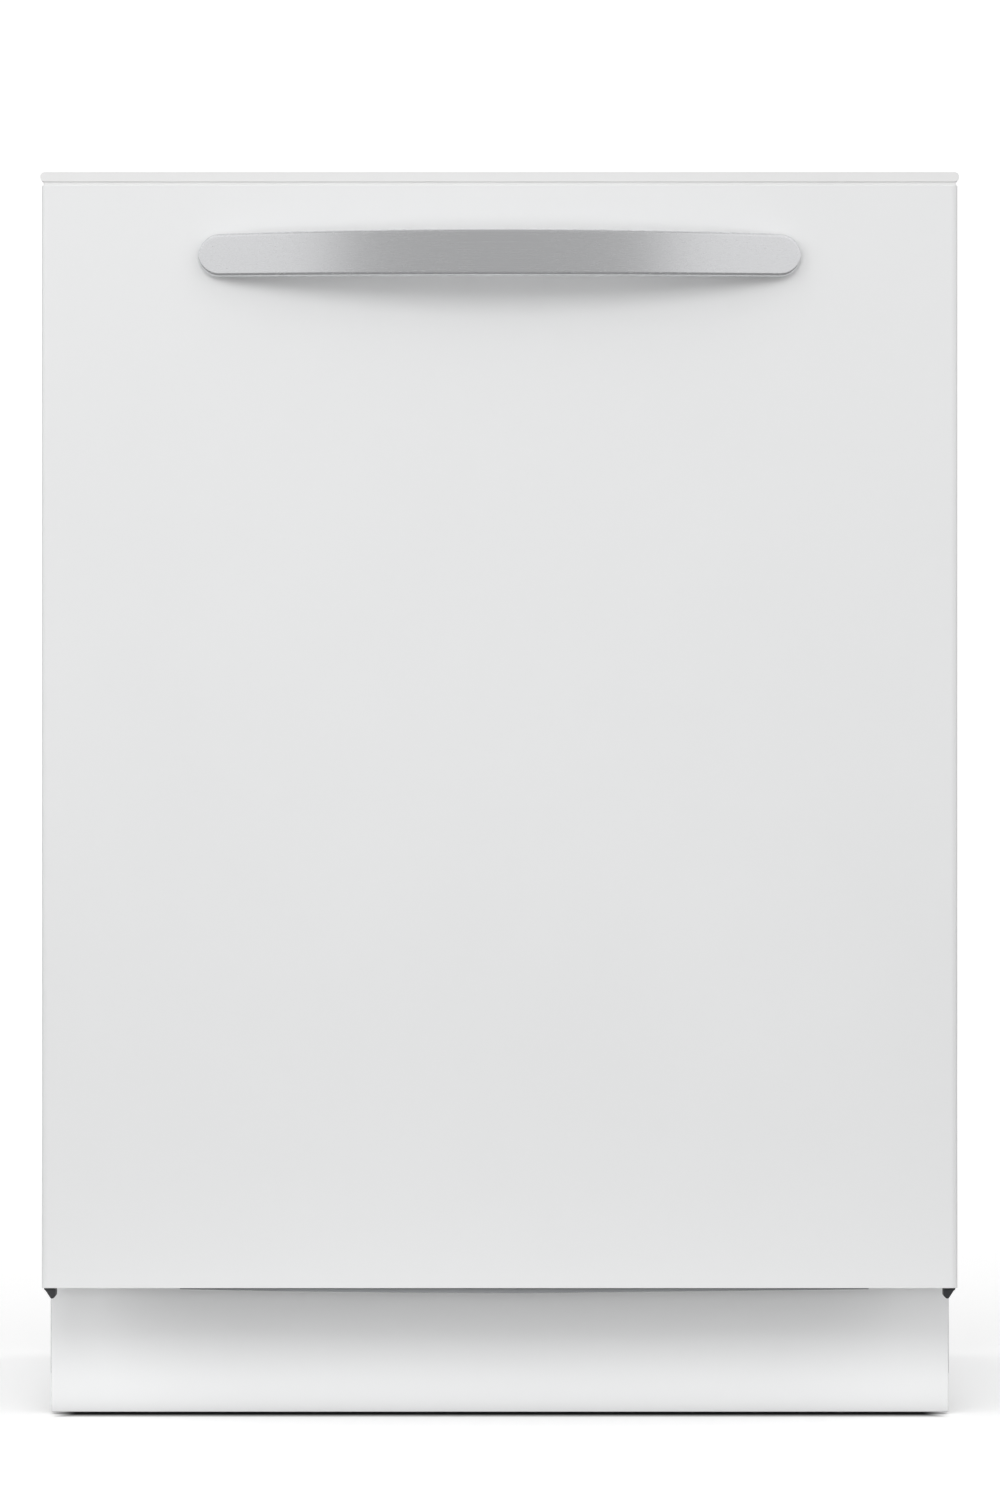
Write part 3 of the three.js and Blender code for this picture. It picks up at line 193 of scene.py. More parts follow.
def new_group(name, kind, inputs, outputs):
    """An empty node group with the given sockets; inputs are (name, socket type, default)."""
    group = bpy.data.node_groups.new(name, kind)
    for label, socket_type, default in inputs:
        socket = group.interface.new_socket(label, in_out="INPUT", socket_type=socket_type)
        if default is not None:
            socket.default_value = default
    for label, socket_type in outputs:
        group.interface.new_socket(label, in_out="OUTPUT", socket_type=socket_type)
    tree = Tree(group)
    return group, tree, tree.add("NodeGroupInput"), tree.add("NodeGroupOutput")


def grain_group():
    """Moulded or sprayed surface grain: a height and a roughness that drifts."""
    group, tree, given, result = new_group(
        "Surface Grain",
        "ShaderNodeTree",
        [
            ("Scale", "NodeSocketFloat", 900.0),
            ("Smooth", "NodeSocketFloat", 0.3),
            ("Dull", "NodeSocketFloat", 0.4),
            ("Colour", "NodeSocketColor", (0.8, 0.8, 0.8, 1)),
            ("Drift", "NodeSocketFloat", 0.03),
        ],
        [("Height", "NodeSocketFloat"), ("Roughness", "NodeSocketFloat"), ("Colour", "NodeSocketColor")],
    )
    place = tree.place()
    fine = tree.add("ShaderNodeTexNoise", Vector=place, Scale=given.outputs["Scale"], Detail=3.0)
    broad = tree.add("ShaderNodeTexNoise", Vector=place, Scale=6.0, Detail=4.0, Roughness=0.6)
    tree.put(result, "Height", fine.outputs["Fac"])
    rough = tree.ramp(broad.outputs["Fac"], 0.3, 0.7, given.outputs["Smooth"], given.outputs["Dull"])
    tree.put(result, "Roughness", rough)
    amount = tree.math("MULTIPLY", tree.ramp(broad.outputs["Fac"], 0.25, 0.75), given.outputs["Drift"])
    tree.put(result, "Colour", tree.blend(amount, given.outputs["Colour"], (0.0, 0.0, 0.0, 1.0)))
    return group


def brushed_group():
    """Brushed or rolled metal: lines along one axis as a height, a mask and a roughness."""
    group, tree, given, result = new_group(
        "Brushed Lines",
        "ShaderNodeTree",
        [
            ("Stretch", "NodeSocketVector", (3.0, 900.0, 900.0)),
            ("Smooth", "NodeSocketFloat", 0.22),
            ("Dull", "NodeSocketFloat", 0.38),
        ],
        [("Height", "NodeSocketFloat"), ("Lines", "NodeSocketFloat"), ("Roughness", "NodeSocketFloat")],
    )
    place = tree.place()
    stretched = tree.add("ShaderNodeVectorMath", {"operation": "MULTIPLY"})
    tree.put(stretched, "0", place)
    tree.put(stretched, "1", given.outputs["Stretch"])
    lines = tree.add("ShaderNodeTexNoise", Vector=stretched.outputs[0], Scale=1.0, Detail=4.0, Roughness=0.65)
    tree.put(result, "Height", lines.outputs["Fac"])
    tree.put(result, "Lines", tree.ramp(lines.outputs["Fac"], 0.25, 0.75))
    rough = tree.ramp(lines.outputs["Fac"], 0.3, 0.7, given.outputs["Smooth"], given.outputs["Dull"])
    tree.put(result, "Roughness", rough)
    return group


def dust_group():
    """A mask of dust and dried spots that gathers most on faces looking up."""
    group, tree, given, result = new_group(
        "Settled Dust",
        "ShaderNodeTree",
        [("Amount", "NodeSocketFloat", 0.2), ("Scale", "NodeSocketFloat", 60.0)],
        [("Mask", "NodeSocketFloat")],
    )
    place = tree.place()
    facing = tree.add("ShaderNodeSeparateXYZ", Vector=tree.add("ShaderNodeNewGeometry").outputs["Normal"])
    specks = tree.add("ShaderNodeTexNoise", Vector=place, Scale=given.outputs["Scale"], Detail=6.0)
    upward = tree.ramp(facing.outputs["Z"], 0.2, 0.9, 0.25, 1.0)
    patch = tree.ramp(specks.outputs["Fac"], 0.42, 0.68)
    settled = tree.math("MULTIPLY", upward, patch)
    tree.put(result, "Mask", tree.math("MULTIPLY", settled, given.outputs["Amount"]))
    return group


SHADER_GROUPS = {}


def shader_group(name):
    makers = {"grain": grain_group, "brushed": brushed_group, "dust": dust_group}
    if name not in SHADER_GROUPS:
        SHADER_GROUPS[name] = makers[name]()
    return SHADER_GROUPS[name]


def start_material(name, **principled):
    """A material with its Principled shader, whose fixed values are set on its own sockets."""
    material = bpy.data.materials.new(name)
    material.use_nodes = True
    material.node_tree.nodes.clear()
    tree = Tree(material.node_tree)
    shader = tree.add("ShaderNodeBsdfPrincipled")
    for label, value in principled.items():
        tree.put(shader, label.replace("_", " "), value)
    output = tree.add("ShaderNodeOutputMaterial", Surface=shader.outputs[0])
    return material, tree, shader, output


DUST_ON_PAINT = (0.42, 0.41, 0.39, 1.0)
DUST_ON_METAL = (0.40, 0.39, 0.37, 1.0)


def dusted(tree, amount, clean, dust):
    """A colour with a share of settled dust over it."""
    settled = tree.add("ShaderNodeGroup", {"node_tree": shader_group("dust")})
    tree.put(settled, "Amount", amount)
    return tree.blend(settled.outputs["Mask"], clean, dust)


def grained(name, colour, scale, smooth, dull, bump, drift=0.04, dust=0.0, **principled):
    """Paint, plastic and rubber: fine grain, drifting gloss and a little dust."""
    material, tree, shader, _ = start_material(name, **principled)
    grain = tree.add("ShaderNodeGroup", {"node_tree": shader_group("grain")})
    given = {"Scale": scale, "Smooth": smooth, "Dull": dull, "Colour": rgba(colour), "Drift": drift}
    for label, value in given.items():
        tree.put(grain, label, value)
    tree.put(shader, "Base Color", dusted(tree, dust, grain.outputs["Colour"], DUST_ON_PAINT))
    tree.put(shader, "Roughness", grain.outputs["Roughness"])
    tree.relief(shader, 0.35, bump, grain.outputs["Height"])
    return material


def brushed(name, colour, stretch, smooth, dull, bump, contrast=0.12, dust=0.0, **principled):
    """Brushed, rolled or plated metal."""
    material, tree, shader, _ = start_material(name, Metallic=1.0, **principled)
    lines = tree.add("ShaderNodeGroup", {"node_tree": shader_group("brushed")})
    tree.put(lines, "Stretch", stretch)
    tree.put(lines, "Smooth", smooth)
    tree.put(lines, "Dull", dull)
    dark = [channel * (1 - contrast) for channel in colour]
    toned = tree.blend(lines.outputs["Lines"], rgba(dark), rgba(colour))
    tree.put(shader, "Base Color", dusted(tree, dust, toned, DUST_ON_METAL))
    tree.put(shader, "Roughness", lines.outputs["Roughness"])
    tree.relief(shader, 0.3, bump, lines.outputs["Height"])
    return material


def zinc_material(name, colour):
    """Zinc plated sheet with its spangle."""
    material, tree, shader, _ = start_material(name, Metallic=1.0)
    place = tree.place()
    cells = tree.add("ShaderNodeTexVoronoi", Vector=place, Scale=70.0)
    tint = tree.add("ShaderNodeSeparateColor", Color=cells.outputs["Color"])
    dark = [channel * 0.9 for channel in colour]
    flake = tree.blend(tint.outputs[0], rgba(dark), rgba(colour))
    tree.put(shader, "Base Color", dusted(tree, 0.3, flake, DUST_ON_METAL))
    tree.put(shader, "Roughness", tree.ramp(tint.outputs[1], 0.0, 1.0, 0.38, 0.48))
    tree.relief(shader, 0.2, 0.0002, tint.outputs[0])
    return material


def felt_material(name):
    """Pressed fibre mat round the tub, darker where its fibre bump is low: painted shade in the hollows."""
    material, tree, shader, _ = start_material(name)
    place = tree.place()
    fibres = tree.add("ShaderNodeTexNoise", Vector=place, Scale=420.0, Detail=8.0, Roughness=0.75)
    tree.put(fibres, "Distortion", 1.5)
    flecks = tree.add("ShaderNodeTexVoronoi", Vector=place, Scale=260.0)
    mixed = tree.math("ADD", fibres.outputs["Fac"], tree.math("MULTIPLY", flecks.outputs["Distance"], 0.4))
    # depth darkens the colour where the fibre bump is low: painted shade in the hollows.
    depth = tree.ramp(mixed, 0.4, 0.95)
    tree.put(shader, "Base Color", tree.blend(depth, (0.045, 0.042, 0.04, 1), (0.17, 0.16, 0.15, 1)))
    tree.put(shader, "Roughness", tree.ramp(mixed, 0.3, 1.0, 0.85, 1.0))
    tree.relief(shader, 0.8, 0.0012, mixed)
    return material


def glass_material(name):
    """Smoked display cover."""
    material, tree, shader, _ = start_material(name, Coat_Weight=0.6, Coat_Roughness=0.05)
    place = tree.place()
    smear = tree.add("ShaderNodeTexNoise", Vector=place, Scale=45.0, Detail=3.0)
    tone = tree.blend(smear.outputs["Fac"], (0.008, 0.008, 0.01, 1), (0.016, 0.016, 0.02, 1))
    tree.put(shader, "Base Color", tone)
    tree.put(shader, "Roughness", tree.ramp(smear.outputs["Fac"], 0.3, 0.7, 0.06, 0.16))
    return material


def floor_material(foot):
    """Pale studio floor with a painted contact shadow under and just in front of the machine; it glows to the
    camera away from the machine, and a band in front of the toe panel glows to diffuse rays as painted bounce
    light.
    """
    material, tree, shader, output = start_material("Pale floor", Roughness=0.9, Specular_IOR_Level=0.1)
    place = tree.place()
    cloud = tree.add("ShaderNodeTexNoise", Vector=place, Scale=3.0, Detail=3.0)
    spot = tree.add("ShaderNodeSeparateXYZ", Vector=place)
    ahead_of = tree.math("MULTIPLY", spot.outputs["Y"], -1.0)
    past_side = tree.ramp(tree.math("ABSOLUTE", spot.outputs["X"]), frame_box[1][0] - 0.02, frame_box[1][0])
    ahead = tree.ramp(ahead_of, foot, foot + 0.03)
    past = tree.ramp(spot.outputs["Y"], frame_box[1][1], 1.0)
    # clear is 1 away from the machine and 0 under it and along the toe panel's front.
    clear = tree.math("MAXIMUM", tree.math("MAXIMUM", past_side, ahead), past)
    pale = tree.blend(cloud.outputs["Fac"], shade(0.88), shade(0.91))
    # Painted contact shadow: where the floor is not clear of the machine its base colour is near black, and
    # its camera glow below is off.
    tree.put(shader, "Base Color", tree.blend(clear, shade(0.05), pale))
    lift = tree.ramp(spot.outputs["Y"], 0.5, 5.0, 0.32, 0.62)
    glow = tree.add("ShaderNodeEmission", Strength=tree.math("MULTIPLY", clear, lift))
    bright = tree.add("ShaderNodeAddShader")
    tree.put(bright, "0", shader.outputs[0])
    tree.put(bright, "1", glow.outputs[0])

    # To all rays but the camera's the floor is a dull grey; a band in front of the toe panel glows to diffuse
    # rays only, a painted bounce light on the toe panel and the foot of the door.
    path = tree.add("ShaderNodeLightPath").outputs
    bounce = tree.blend(path["Is Diffuse Ray"], shade(0.3), shade(0.24))
    dull = tree.add("ShaderNodeBsdfDiffuse", Color=bounce)
    painted_bounce_band = tree.ramp(ahead_of, foot, foot + 0.02)
    painted_bounce_band = tree.math("MULTIPLY", painted_bounce_band, tree.ramp(ahead_of, foot + 0.24, foot + 0.08))
    across = tree.ramp(tree.math("ABSOLUTE", spot.outputs["X"]), frame_box[1][0] + 0.2, frame_box[1][0])
    painted_bounce_mask = tree.math("MULTIPLY", tree.math("MULTIPLY", painted_bounce_band, across), path["Is Diffuse Ray"])
    painted_bounce_glow = tree.add("ShaderNodeEmission", Strength=tree.math("MULTIPLY", painted_bounce_mask, 0.85))
    dull_floor_with_painted_bounce = tree.add("ShaderNodeAddShader")
    tree.put(dull_floor_with_painted_bounce, "0", dull.outputs[0])
    tree.put(dull_floor_with_painted_bounce, "1", painted_bounce_glow.outputs[0])
    either = tree.add("ShaderNodeMixShader", Fac=path["Is Camera Ray"])
    tree.put(either, "1", dull_floor_with_painted_bounce.outputs[0])
    tree.put(either, "2", bright.outputs[0])
    tree.put(output, "Surface", either.outputs[0])
    return material


def make_materials():
    """Every finish, by the name of its material slot, plus a few that only details use."""
    tint = colours()
    return {
        "white_paint": grained(
            "White enamel", tint.enamel, 650.0, 0.30, 0.36, 0.00003, 0.012, 0.0, Coat_Weight=0.15
        ),
        "white_plastic": grained("White moulding", tint.strip, 1400.0, 0.38, 0.46, 0.00004, 0.02, 0.06),
        "brushed_steel": brushed(
            "Brushed steel", tint.handle, (2.5, 900.0, 1800.0), 0.22, 0.28, 0.000003, 0.06
        ),
        "tub_steel": brushed("Tub steel", tint.tub, (1900.0, 1900.0, 9.0), 0.27, 0.31, 0.000008, 0.04, 0.04),
        "zinc_steel": zinc_material("Zinc plate", tint.zinc),
        "dark_plastic": grained("Dark moulding", tint.dark, 1300.0, 0.48, 0.62, 0.0001, 0.3, 0.12),
        "grey_plastic": grained("Grey moulding", tint.grey, 1300.0, 0.36, 0.48, 0.00006, 0.06, 0.05),
        "rubber": grained("Black rubber", (0.022, 0.022, 0.024), 900.0, 0.6, 0.78, 0.0001, 0.3, 0.10),
        # Grey rubber of the lower door seal; its tone is set to stand for the shade in the gap under the
        # door, partly painted shade.
        "seal_gap_shade_rubber": grained("Grey rubber", (0.30, 0.31, 0.32), 900.0, 0.6, 0.78, 0.0001, 0.2, 0.05),
        "felt": felt_material("Pressed felt"),
        "wire_coat": grained("Wire coat", tint.wire, 1800.0, 0.30, 0.40, 0.00003, 0.05, 0.0, Coat_Weight=0.2),
        "smoked_glass": glass_material("Smoked cover"),
        "board": grained("Circuit board", (0.02, 0.12, 0.05), 500.0, 0.3, 0.45, 0.0001, 0.4, 0.05),
    }


MATERIALS = {}


def finish_for(slot):
    if not MATERIALS:
        MATERIALS.update(make_materials())
    return MATERIALS[slot]


# ---- Meshes ----------------------------------------------------------------------------------

AXES = {"x": (1, 2, 0), "y": (2, 0, 1), "z": (0, 1, 2)}


def place(axis, u, v, along):
    """A point given by its two places across an axis and its place along it."""
    point = [0.0, 0.0, 0.0]
    for index, value in zip(AXES[axis], (u, v, along)):
        point[index] = value
    return point


def arc(centre, radius, start, stop, steps):
    """Points on an arc, angles in degrees."""
    turns = [math.radians(start + (stop - start) * i / steps) for i in range(steps + 1)]
    return [(centre[0] + radius * math.cos(t), centre[1] + radius * math.sin(t)) for t in turns]


def round_rectangle(low, high, radius, steps=6):
    """Outline of a rectangle with round corners, anticlockwise."""
    (u0, v0), (u1, v1) = low, high
    turns = (
        ((u1 - radius, v0 + radius), -90), ((u1 - radius, v1 - radius), 0),
        ((u0 + radius, v1 - radius), 90), ((u0 + radius, v0 + radius), 180),
    )
    return [point for centre, start in turns for point in arc(centre, radius, start, start + 90, steps)]


class Shape:
    """Closed solids gathered into one mesh."""

    def __init__(self):
        self.mesh = bmesh.new()

    def loft(self, rings, close=True):
        """A skin over rings of equally many points, closed at both ends."""
        made = [[self.mesh.verts.new(point) for point in ring] for ring in rings]
        count = len(made[0])
        for near, far in zip(made, made[1:]):
            for i in range(count):
                j = (i + 1) % count
                self.mesh.faces.new((near[i], near[j], far[j], far[i]))
        if close:
            self.mesh.faces.new(list(reversed(made[0])))
            self.mesh.faces.new(made[-1])
        return self

    def prism(self, outline, axis, low, high):
        return self.loft([[place(axis, u, v, at) for u, v in outline] for at in (low, high)])

    def box(self, low, high):
        outline = [(low[0], low[1]), (high[0], low[1]), (high[0], high[1]), (low[0], high[1])]
        return self.prism(outline, "z", low[2], high[2])

    def lathe(self, profile, axis, centre, segments=48):
        """A profile of (radius, along) turned round an axis; a closed profile makes a ring."""
        turns = [2 * math.pi * i / segments for i in range(segments)]
        rings = []
        for radius, along in profile:
            ring = [(centre[0] + radius * math.cos(t), centre[1] + radius * math.sin(t)) for t in turns]
            rings.append([place(axis, u, v, along) for u, v in ring])
        return self.loft(rings, close=profile[0] != profile[-1])

    def done(self):
        """The plain mesh, with doubles merged and faces out."""
        bmesh.ops.remove_doubles(self.mesh, verts=self.mesh.verts, dist=1e-6)
        bmesh.ops.recalc_face_normals(self.mesh, faces=self.mesh.faces)
        mesh = bpy.data.meshes.new("shape")
        self.mesh.to_mesh(mesh)
        self.mesh.free()
        return mesh


def worked(mesh, *modifiers):
    """The mesh with modifiers applied; each is (kind, settings)."""
    obj = bpy.data.objects.new("work", mesh)
    bpy.context.scene.collection.objects.link(obj)
    for kind, settings in modifiers:
        modifier = obj.modifiers.new(kind, kind)
        for name, value in settings.items():
            setattr(modifier, name, value)
    result = bpy.data.meshes.new_from_object(obj.evaluated_get(bpy.context.evaluated_depsgraph_get()))
    bpy.data.objects.remove(obj)
    return result


def carved(mesh, tool, operation="DIFFERENCE"):
    """The mesh with a tool shape cut out of it, or joined to it as one solid by UNION."""
    partner = bpy.data.objects.new("partner", tool)
    bpy.context.scene.collection.objects.link(partner)
    result = worked(mesh, ("BOOLEAN", {"operation": operation, "object": partner, "solver": "EXACT"}))
    bpy.data.objects.remove(partner)
    return result


def moved(mesh, offset):
    """A copy of a mesh moved by an offset."""
    copy = mesh.copy()
    copy.transform(Matrix.Translation(offset))
    return copy


def rounded(mesh, width, segments=2, angle=32):
    settings = {
        "width": width,
        "segments": segments,
        "limit_method": "ANGLE",
        "angle_limit": math.radians(angle),
        "miter_outer": "MITER_ARC",
    }
    return worked(mesh, ("BEVEL", settings))


def detail(name, mesh, slot, node, crease=38):
    """Adds a finished mesh as a piece beside a node, on the same body."""
    for polygon in mesh.polygons:
        polygon.use_smooth = True
        polygon.material_index = 0
    mesh.set_sharp_from_angle(angle=math.radians(crease))
    mesh = worked(mesh, ("WEIGHTED_NORMAL", {"keep_sharp": True}))
    mesh.name = name
    mesh.materials.clear()
    mesh.materials.append(finish_for(slot))
    obj = bpy.data.objects.new(name, mesh)
    bpy.context.scene.collection.objects.link(obj)
    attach(obj, BODY_OF[node])
    return obj


def keep(name, mesh, slot, node, crease=38):
    """Adds a finished mesh in a node's place."""
    obj = detail(name, mesh, slot, node, crease)
    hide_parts(node)
    return obj


def merged_copy(node):
    """A copy of a node's mesh with its loose triangles joined and its flat faces whole."""
    copy = bmesh.new()
    copy.from_mesh(frame["nodes"][node].data)
    bmesh.ops.remove_doubles(copy, verts=copy.verts, dist=1e-5)
    bmesh.ops.dissolve_limit(
        copy, angle_limit=math.radians(1), verts=copy.verts, edges=copy.edges, use_dissolve_boundaries=False
    )
    mesh = bpy.data.meshes.new(node)
    copy.to_mesh(mesh)
    copy.free()
    return mesh


def soften(node, width, segments=2, slot=None, angle=32):
    """Replaces a node by the same shape with rounded edges."""
    mesh = rounded(merged_copy(node), width, segments, angle)
    return keep(node + "_finished", mesh, slot or SLOT_OF[node], node)


def corners(node):
    low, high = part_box(node)
    return Vector(low), Vector(high)


def centre_of(node, axis):
    """Where a node's middle lies across an axis."""
    low, high = corners(node)
    return tuple((low[i] + high[i]) / 2 for i in AXES[axis][:2])


# ---- Geometry Nodes trees --------------------------------------------------------------------


def finish_tree(tree, geometry, material, result):
    """Ends a tree with real geometry and its finish."""
    real = tree.add("GeometryNodeRealizeInstances", Geometry=geometry)
    dressed = tree.add("GeometryNodeSetMaterial", Geometry=real.outputs[0], Material=material)
    tree.put(result, "Geometry", dressed.outputs[0])


def repeat(tree, geometry, count, step):
    """Copies of a geometry along a straight line."""
    line = tree.add("GeometryNodeMeshLine", {"mode": "OFFSET"}, Count=count, Offset=step)
    copies = tree.add("GeometryNodeInstanceOnPoints", Points=line.outputs[0], Instance=geometry)
    return tree.add("GeometryNodeRealizeInstances", Geometry=copies.outputs[0]).outputs[0]


def wire_row_tree():
    """A bent wire, given as a run of edges, made round and repeated along a line."""
    group, tree, given, result = new_group(
        "Row of Bent Wires",
        "GeometryNodeTree",
        [
            ("Geometry", "NodeSocketGeometry", None),
            ("Wire Radius", "NodeSocketFloat", 0.002),
            ("Bend Radius", "NodeSocketFloat", 0.008),
            ("Sides", "NodeSocketInt", 10),
            ("Count", "NodeSocketInt", 1),
            ("Step", "NodeSocketVector", (0, 0, 0)),
            ("Finish", "NodeSocketMaterial", None),
        ],
        [("Geometry", "NodeSocketGeometry")],
    )
    get = given.outputs
    path = tree.add("GeometryNodeMeshToCurve", Mesh=get["Geometry"])
    bent = tree.add("GeometryNodeFilletCurve", Curve=path.outputs[0])
    mode = bent.inputs.get("Mode")
    if mode is None:
        bent.mode = "POLY"
    else:
        mode.default_value = "Poly"
    tree.put(bent, "Radius", get["Bend Radius"])
    tree.put(bent, "Limit Radius", True)
    tree.put(bent, "Count", 5)
    section = tree.add("GeometryNodeCurvePrimitiveCircle", Resolution=get["Sides"], Radius=get["Wire Radius"])
    swept = tree.add("GeometryNodeCurveToMesh", Curve=bent.outputs[0])
    tree.put(swept, "Profile Curve", section.outputs[0])
    tree.put(swept, "Fill Caps", True)
    finish_tree(tree, repeat(tree, swept.outputs[0], get["Count"], get["Step"]), get["Finish"], result)
    return group


def piece_row_tree():
    """A small solid repeated over rows and columns."""
    group, tree, given, result = new_group(
        "Rows of Pieces",
        "GeometryNodeTree",
        [
            ("Geometry", "NodeSocketGeometry", None),
            ("Count", "NodeSocketInt", 1),
            ("Step", "NodeSocketVector", (0, 0, 0)),
            ("Rows", "NodeSocketInt", 1),
            ("Row Step", "NodeSocketVector", (0, 0, 0)),
            ("Finish", "NodeSocketMaterial", None),
        ],
        [("Geometry", "NodeSocketGeometry")],
    )
    get = given.outputs
    row = repeat(tree, get["Geometry"], get["Count"], get["Step"])
    finish_tree(tree, repeat(tree, row, get["Rows"], get["Row Step"]), get["Finish"], result)
    return group


def spring_tree():
    """A close coiled spring along Z from its own origin."""
    group, tree, given, result = new_group(
        "Coil Spring",
        "GeometryNodeTree",
        [
            ("Geometry", "NodeSocketGeometry", None),
            ("Turns", "NodeSocketFloat", 30.0),
            ("Coil Radius", "NodeSocketFloat", 0.006),
            ("Wire Radius", "NodeSocketFloat", 0.001),
            ("Length", "NodeSocketFloat", 0.15),
            ("Finish", "NodeSocketMaterial", None),
        ],
        [("Geometry", "NodeSocketGeometry")],
    )
    get = given.outputs
    coil = tree.add("GeometryNodeCurveSpiral", Resolution=18, Rotations=get["Turns"], Height=get["Length"])
    tree.put(coil, "Start Radius", get["Coil Radius"])
    tree.put(coil, "End Radius", get["Coil Radius"])
    section = tree.add("GeometryNodeCurvePrimitiveCircle", Resolution=8, Radius=get["Wire Radius"])
    swept = tree.add("GeometryNodeCurveToMesh", Curve=coil.outputs[0])
    tree.put(swept, "Profile Curve", section.outputs[0])
    tree.put(swept, "Fill Caps", True)
    finish_tree(tree, swept.outputs[0], get["Finish"], result)
    return group


def stud_tree():
    """Screw heads, each a low cone on a short shank, one on each given point, facing a direction."""
    group, tree, given, result = new_group(
        "Screw Heads",
        "GeometryNodeTree",
        [
            ("Geometry", "NodeSocketGeometry", None),
            ("Head Radius", "NodeSocketFloat", 0.004),
            ("Head Height", "NodeSocketFloat", 0.002),
            ("Facing", "NodeSocketVector", (0, -1, 0)),
            ("Finish", "NodeSocketMaterial", None),
        ],
        [("Geometry", "NodeSocketGeometry")],
    )
    get = given.outputs
    head = tree.add("GeometryNodeMeshCone", Vertices=20, Depth=get["Head Height"])
    tree.put(head, "Radius Bottom", get["Head Radius"])
    tree.put(head, "Radius Top", tree.math("MULTIPLY", get["Head Radius"], 0.72))
    shank = tree.add("GeometryNodeMeshCylinder", Vertices=12)
    tree.put(shank, "Radius", tree.math("MULTIPLY", get["Head Radius"], 0.42))
    tree.put(shank, "Depth", tree.math("MULTIPLY", get["Head Height"], 2.5))
    both = tree.add("GeometryNodeJoinGeometry")
    tree.tree.links.new(head.outputs[0], both.inputs[0])
    tree.tree.links.new(shank.outputs[0], both.inputs[0])
    turned = tree.add("FunctionNodeAlignEulerToVector", {"axis": "Z"}, Vector=get["Facing"])
    heads = tree.add("GeometryNodeInstanceOnPoints", Points=get["Geometry"], Instance=both.outputs[0])
    tree.put(heads, "Rotation", turned.outputs[0])
    finish_tree(tree, heads.outputs[0], get["Finish"], result)
    return group


TREES = {}


def tree_for(name):
    makers = {"wires": wire_row_tree, "pieces": piece_row_tree, "spring": spring_tree, "screws": stud_tree}
    if name not in TREES:
        TREES[name] = makers[name]()
    return TREES[name]


def grown(kind, mesh, slot, **inputs):
    """The plain mesh that a tree makes from a mesh."""
    group = tree_for(kind)
    obj = bpy.data.objects.new("grown", mesh)
    bpy.context.scene.collection.objects.link(obj)
    modifier = obj.modifiers.new(group.name, "NODES")
    modifier.node_group = group
    given = {name.replace("_", " "): value for name, value in inputs.items()}
    given["Finish"] = finish_for(slot)
    for item in group.interface.items_tree:
        if item.item_type == "SOCKET" and item.in_out == "INPUT" and item.name in given:
            modifier[item.identifier] = given[item.name]
    result = bpy.data.meshes.new_from_object(obj.evaluated_get(bpy.context.evaluated_depsgraph_get()))
    obj.modifiers.clear()
    bpy.data.objects.remove(obj)
    return result


def run_of_edges(points, closed=False):
    """A mesh of edges through points."""
    count = len(points)
    edges = [(i, i + 1) for i in range(count - 1)]
    if closed:
        edges.append((count - 1, 0))
    mesh = bpy.data.meshes.new("run")
    mesh.from_pydata(points, edges, [])
    return mesh


def joined(meshes):
    """Several meshes as one."""
    whole = bmesh.new()
    for mesh in meshes:
        whole.from_mesh(mesh)
    result = bpy.data.meshes.new("joined")
    whole.to_mesh(result)
    whole.free()
    return result


def wires(points, count=1, step=(0, 0, 0), radius=None, bend=None, closed=False, slot="wire_coat"):
    size = sizes()
    return grown(
        "wires",
        run_of_edges(points, closed),
        slot,
        Wire_Radius=radius or size.wire_radius,
        Bend_Radius=size.wire_bend if bend is None else bend,
        Count=count,
        Step=step,
    )


def screws(name, points, facing, node, radius=0.0038, height=0.0018, slot="zinc_steel"):
    """Screw heads at points, as one piece beside a node."""
    mesh = grown("screws", run_of_edges(points), slot, Head_Radius=radius, Head_Height=height, Facing=facing)
    return detail(name, mesh, slot, node)


# ---- Door ------------------------------------------------------------------------------------


class DISHWASHER_OT_door_panels(bpy.types.Operator):
    """Outer skin, toe panel, lower seal and corner caps"""

    bl_idname = "dishwasher.door_panels"
    bl_label = "Door Panels"

    def execute(self, context):
        soften("door_outer_panel", 0.35 * MM)
        soften("toe_panel", 0.6 * MM)
        # The lower seal is a real strip in the gap under the door, but its grey rubber tone is set to stand
        # for the shade in that gap: partly painted shade.
        seal = soften("door_bottom_seal", 1.0 * MM, 3)
        seal.data.materials[0] = finish_for("seal_gap_shade_rubber")
        for side, sign in SIDES.items():
            node = "door_corner_cap_" + side
            low, high = corners(node)
            outer, inner = sorted((low.x * sign, high.x * sign), reverse=True)
            tip = 1.6 * MM
            outline = [
                (high.z, outer), (high.z - tip, outer - tip), (low.z, inner + 2 * tip),
                (low.z, inner + tip), (low.z + tip, inner), (high.z, inner),
            ]
            tab = Shape().prism([(z, sign * x) for z, x in outline], "y", low.y, high.y).done()
            keep("corner_tab_" + side, rounded(tab, 0.5 * MM, 3), "dark_plastic", node)
        return {"FINISHED"}


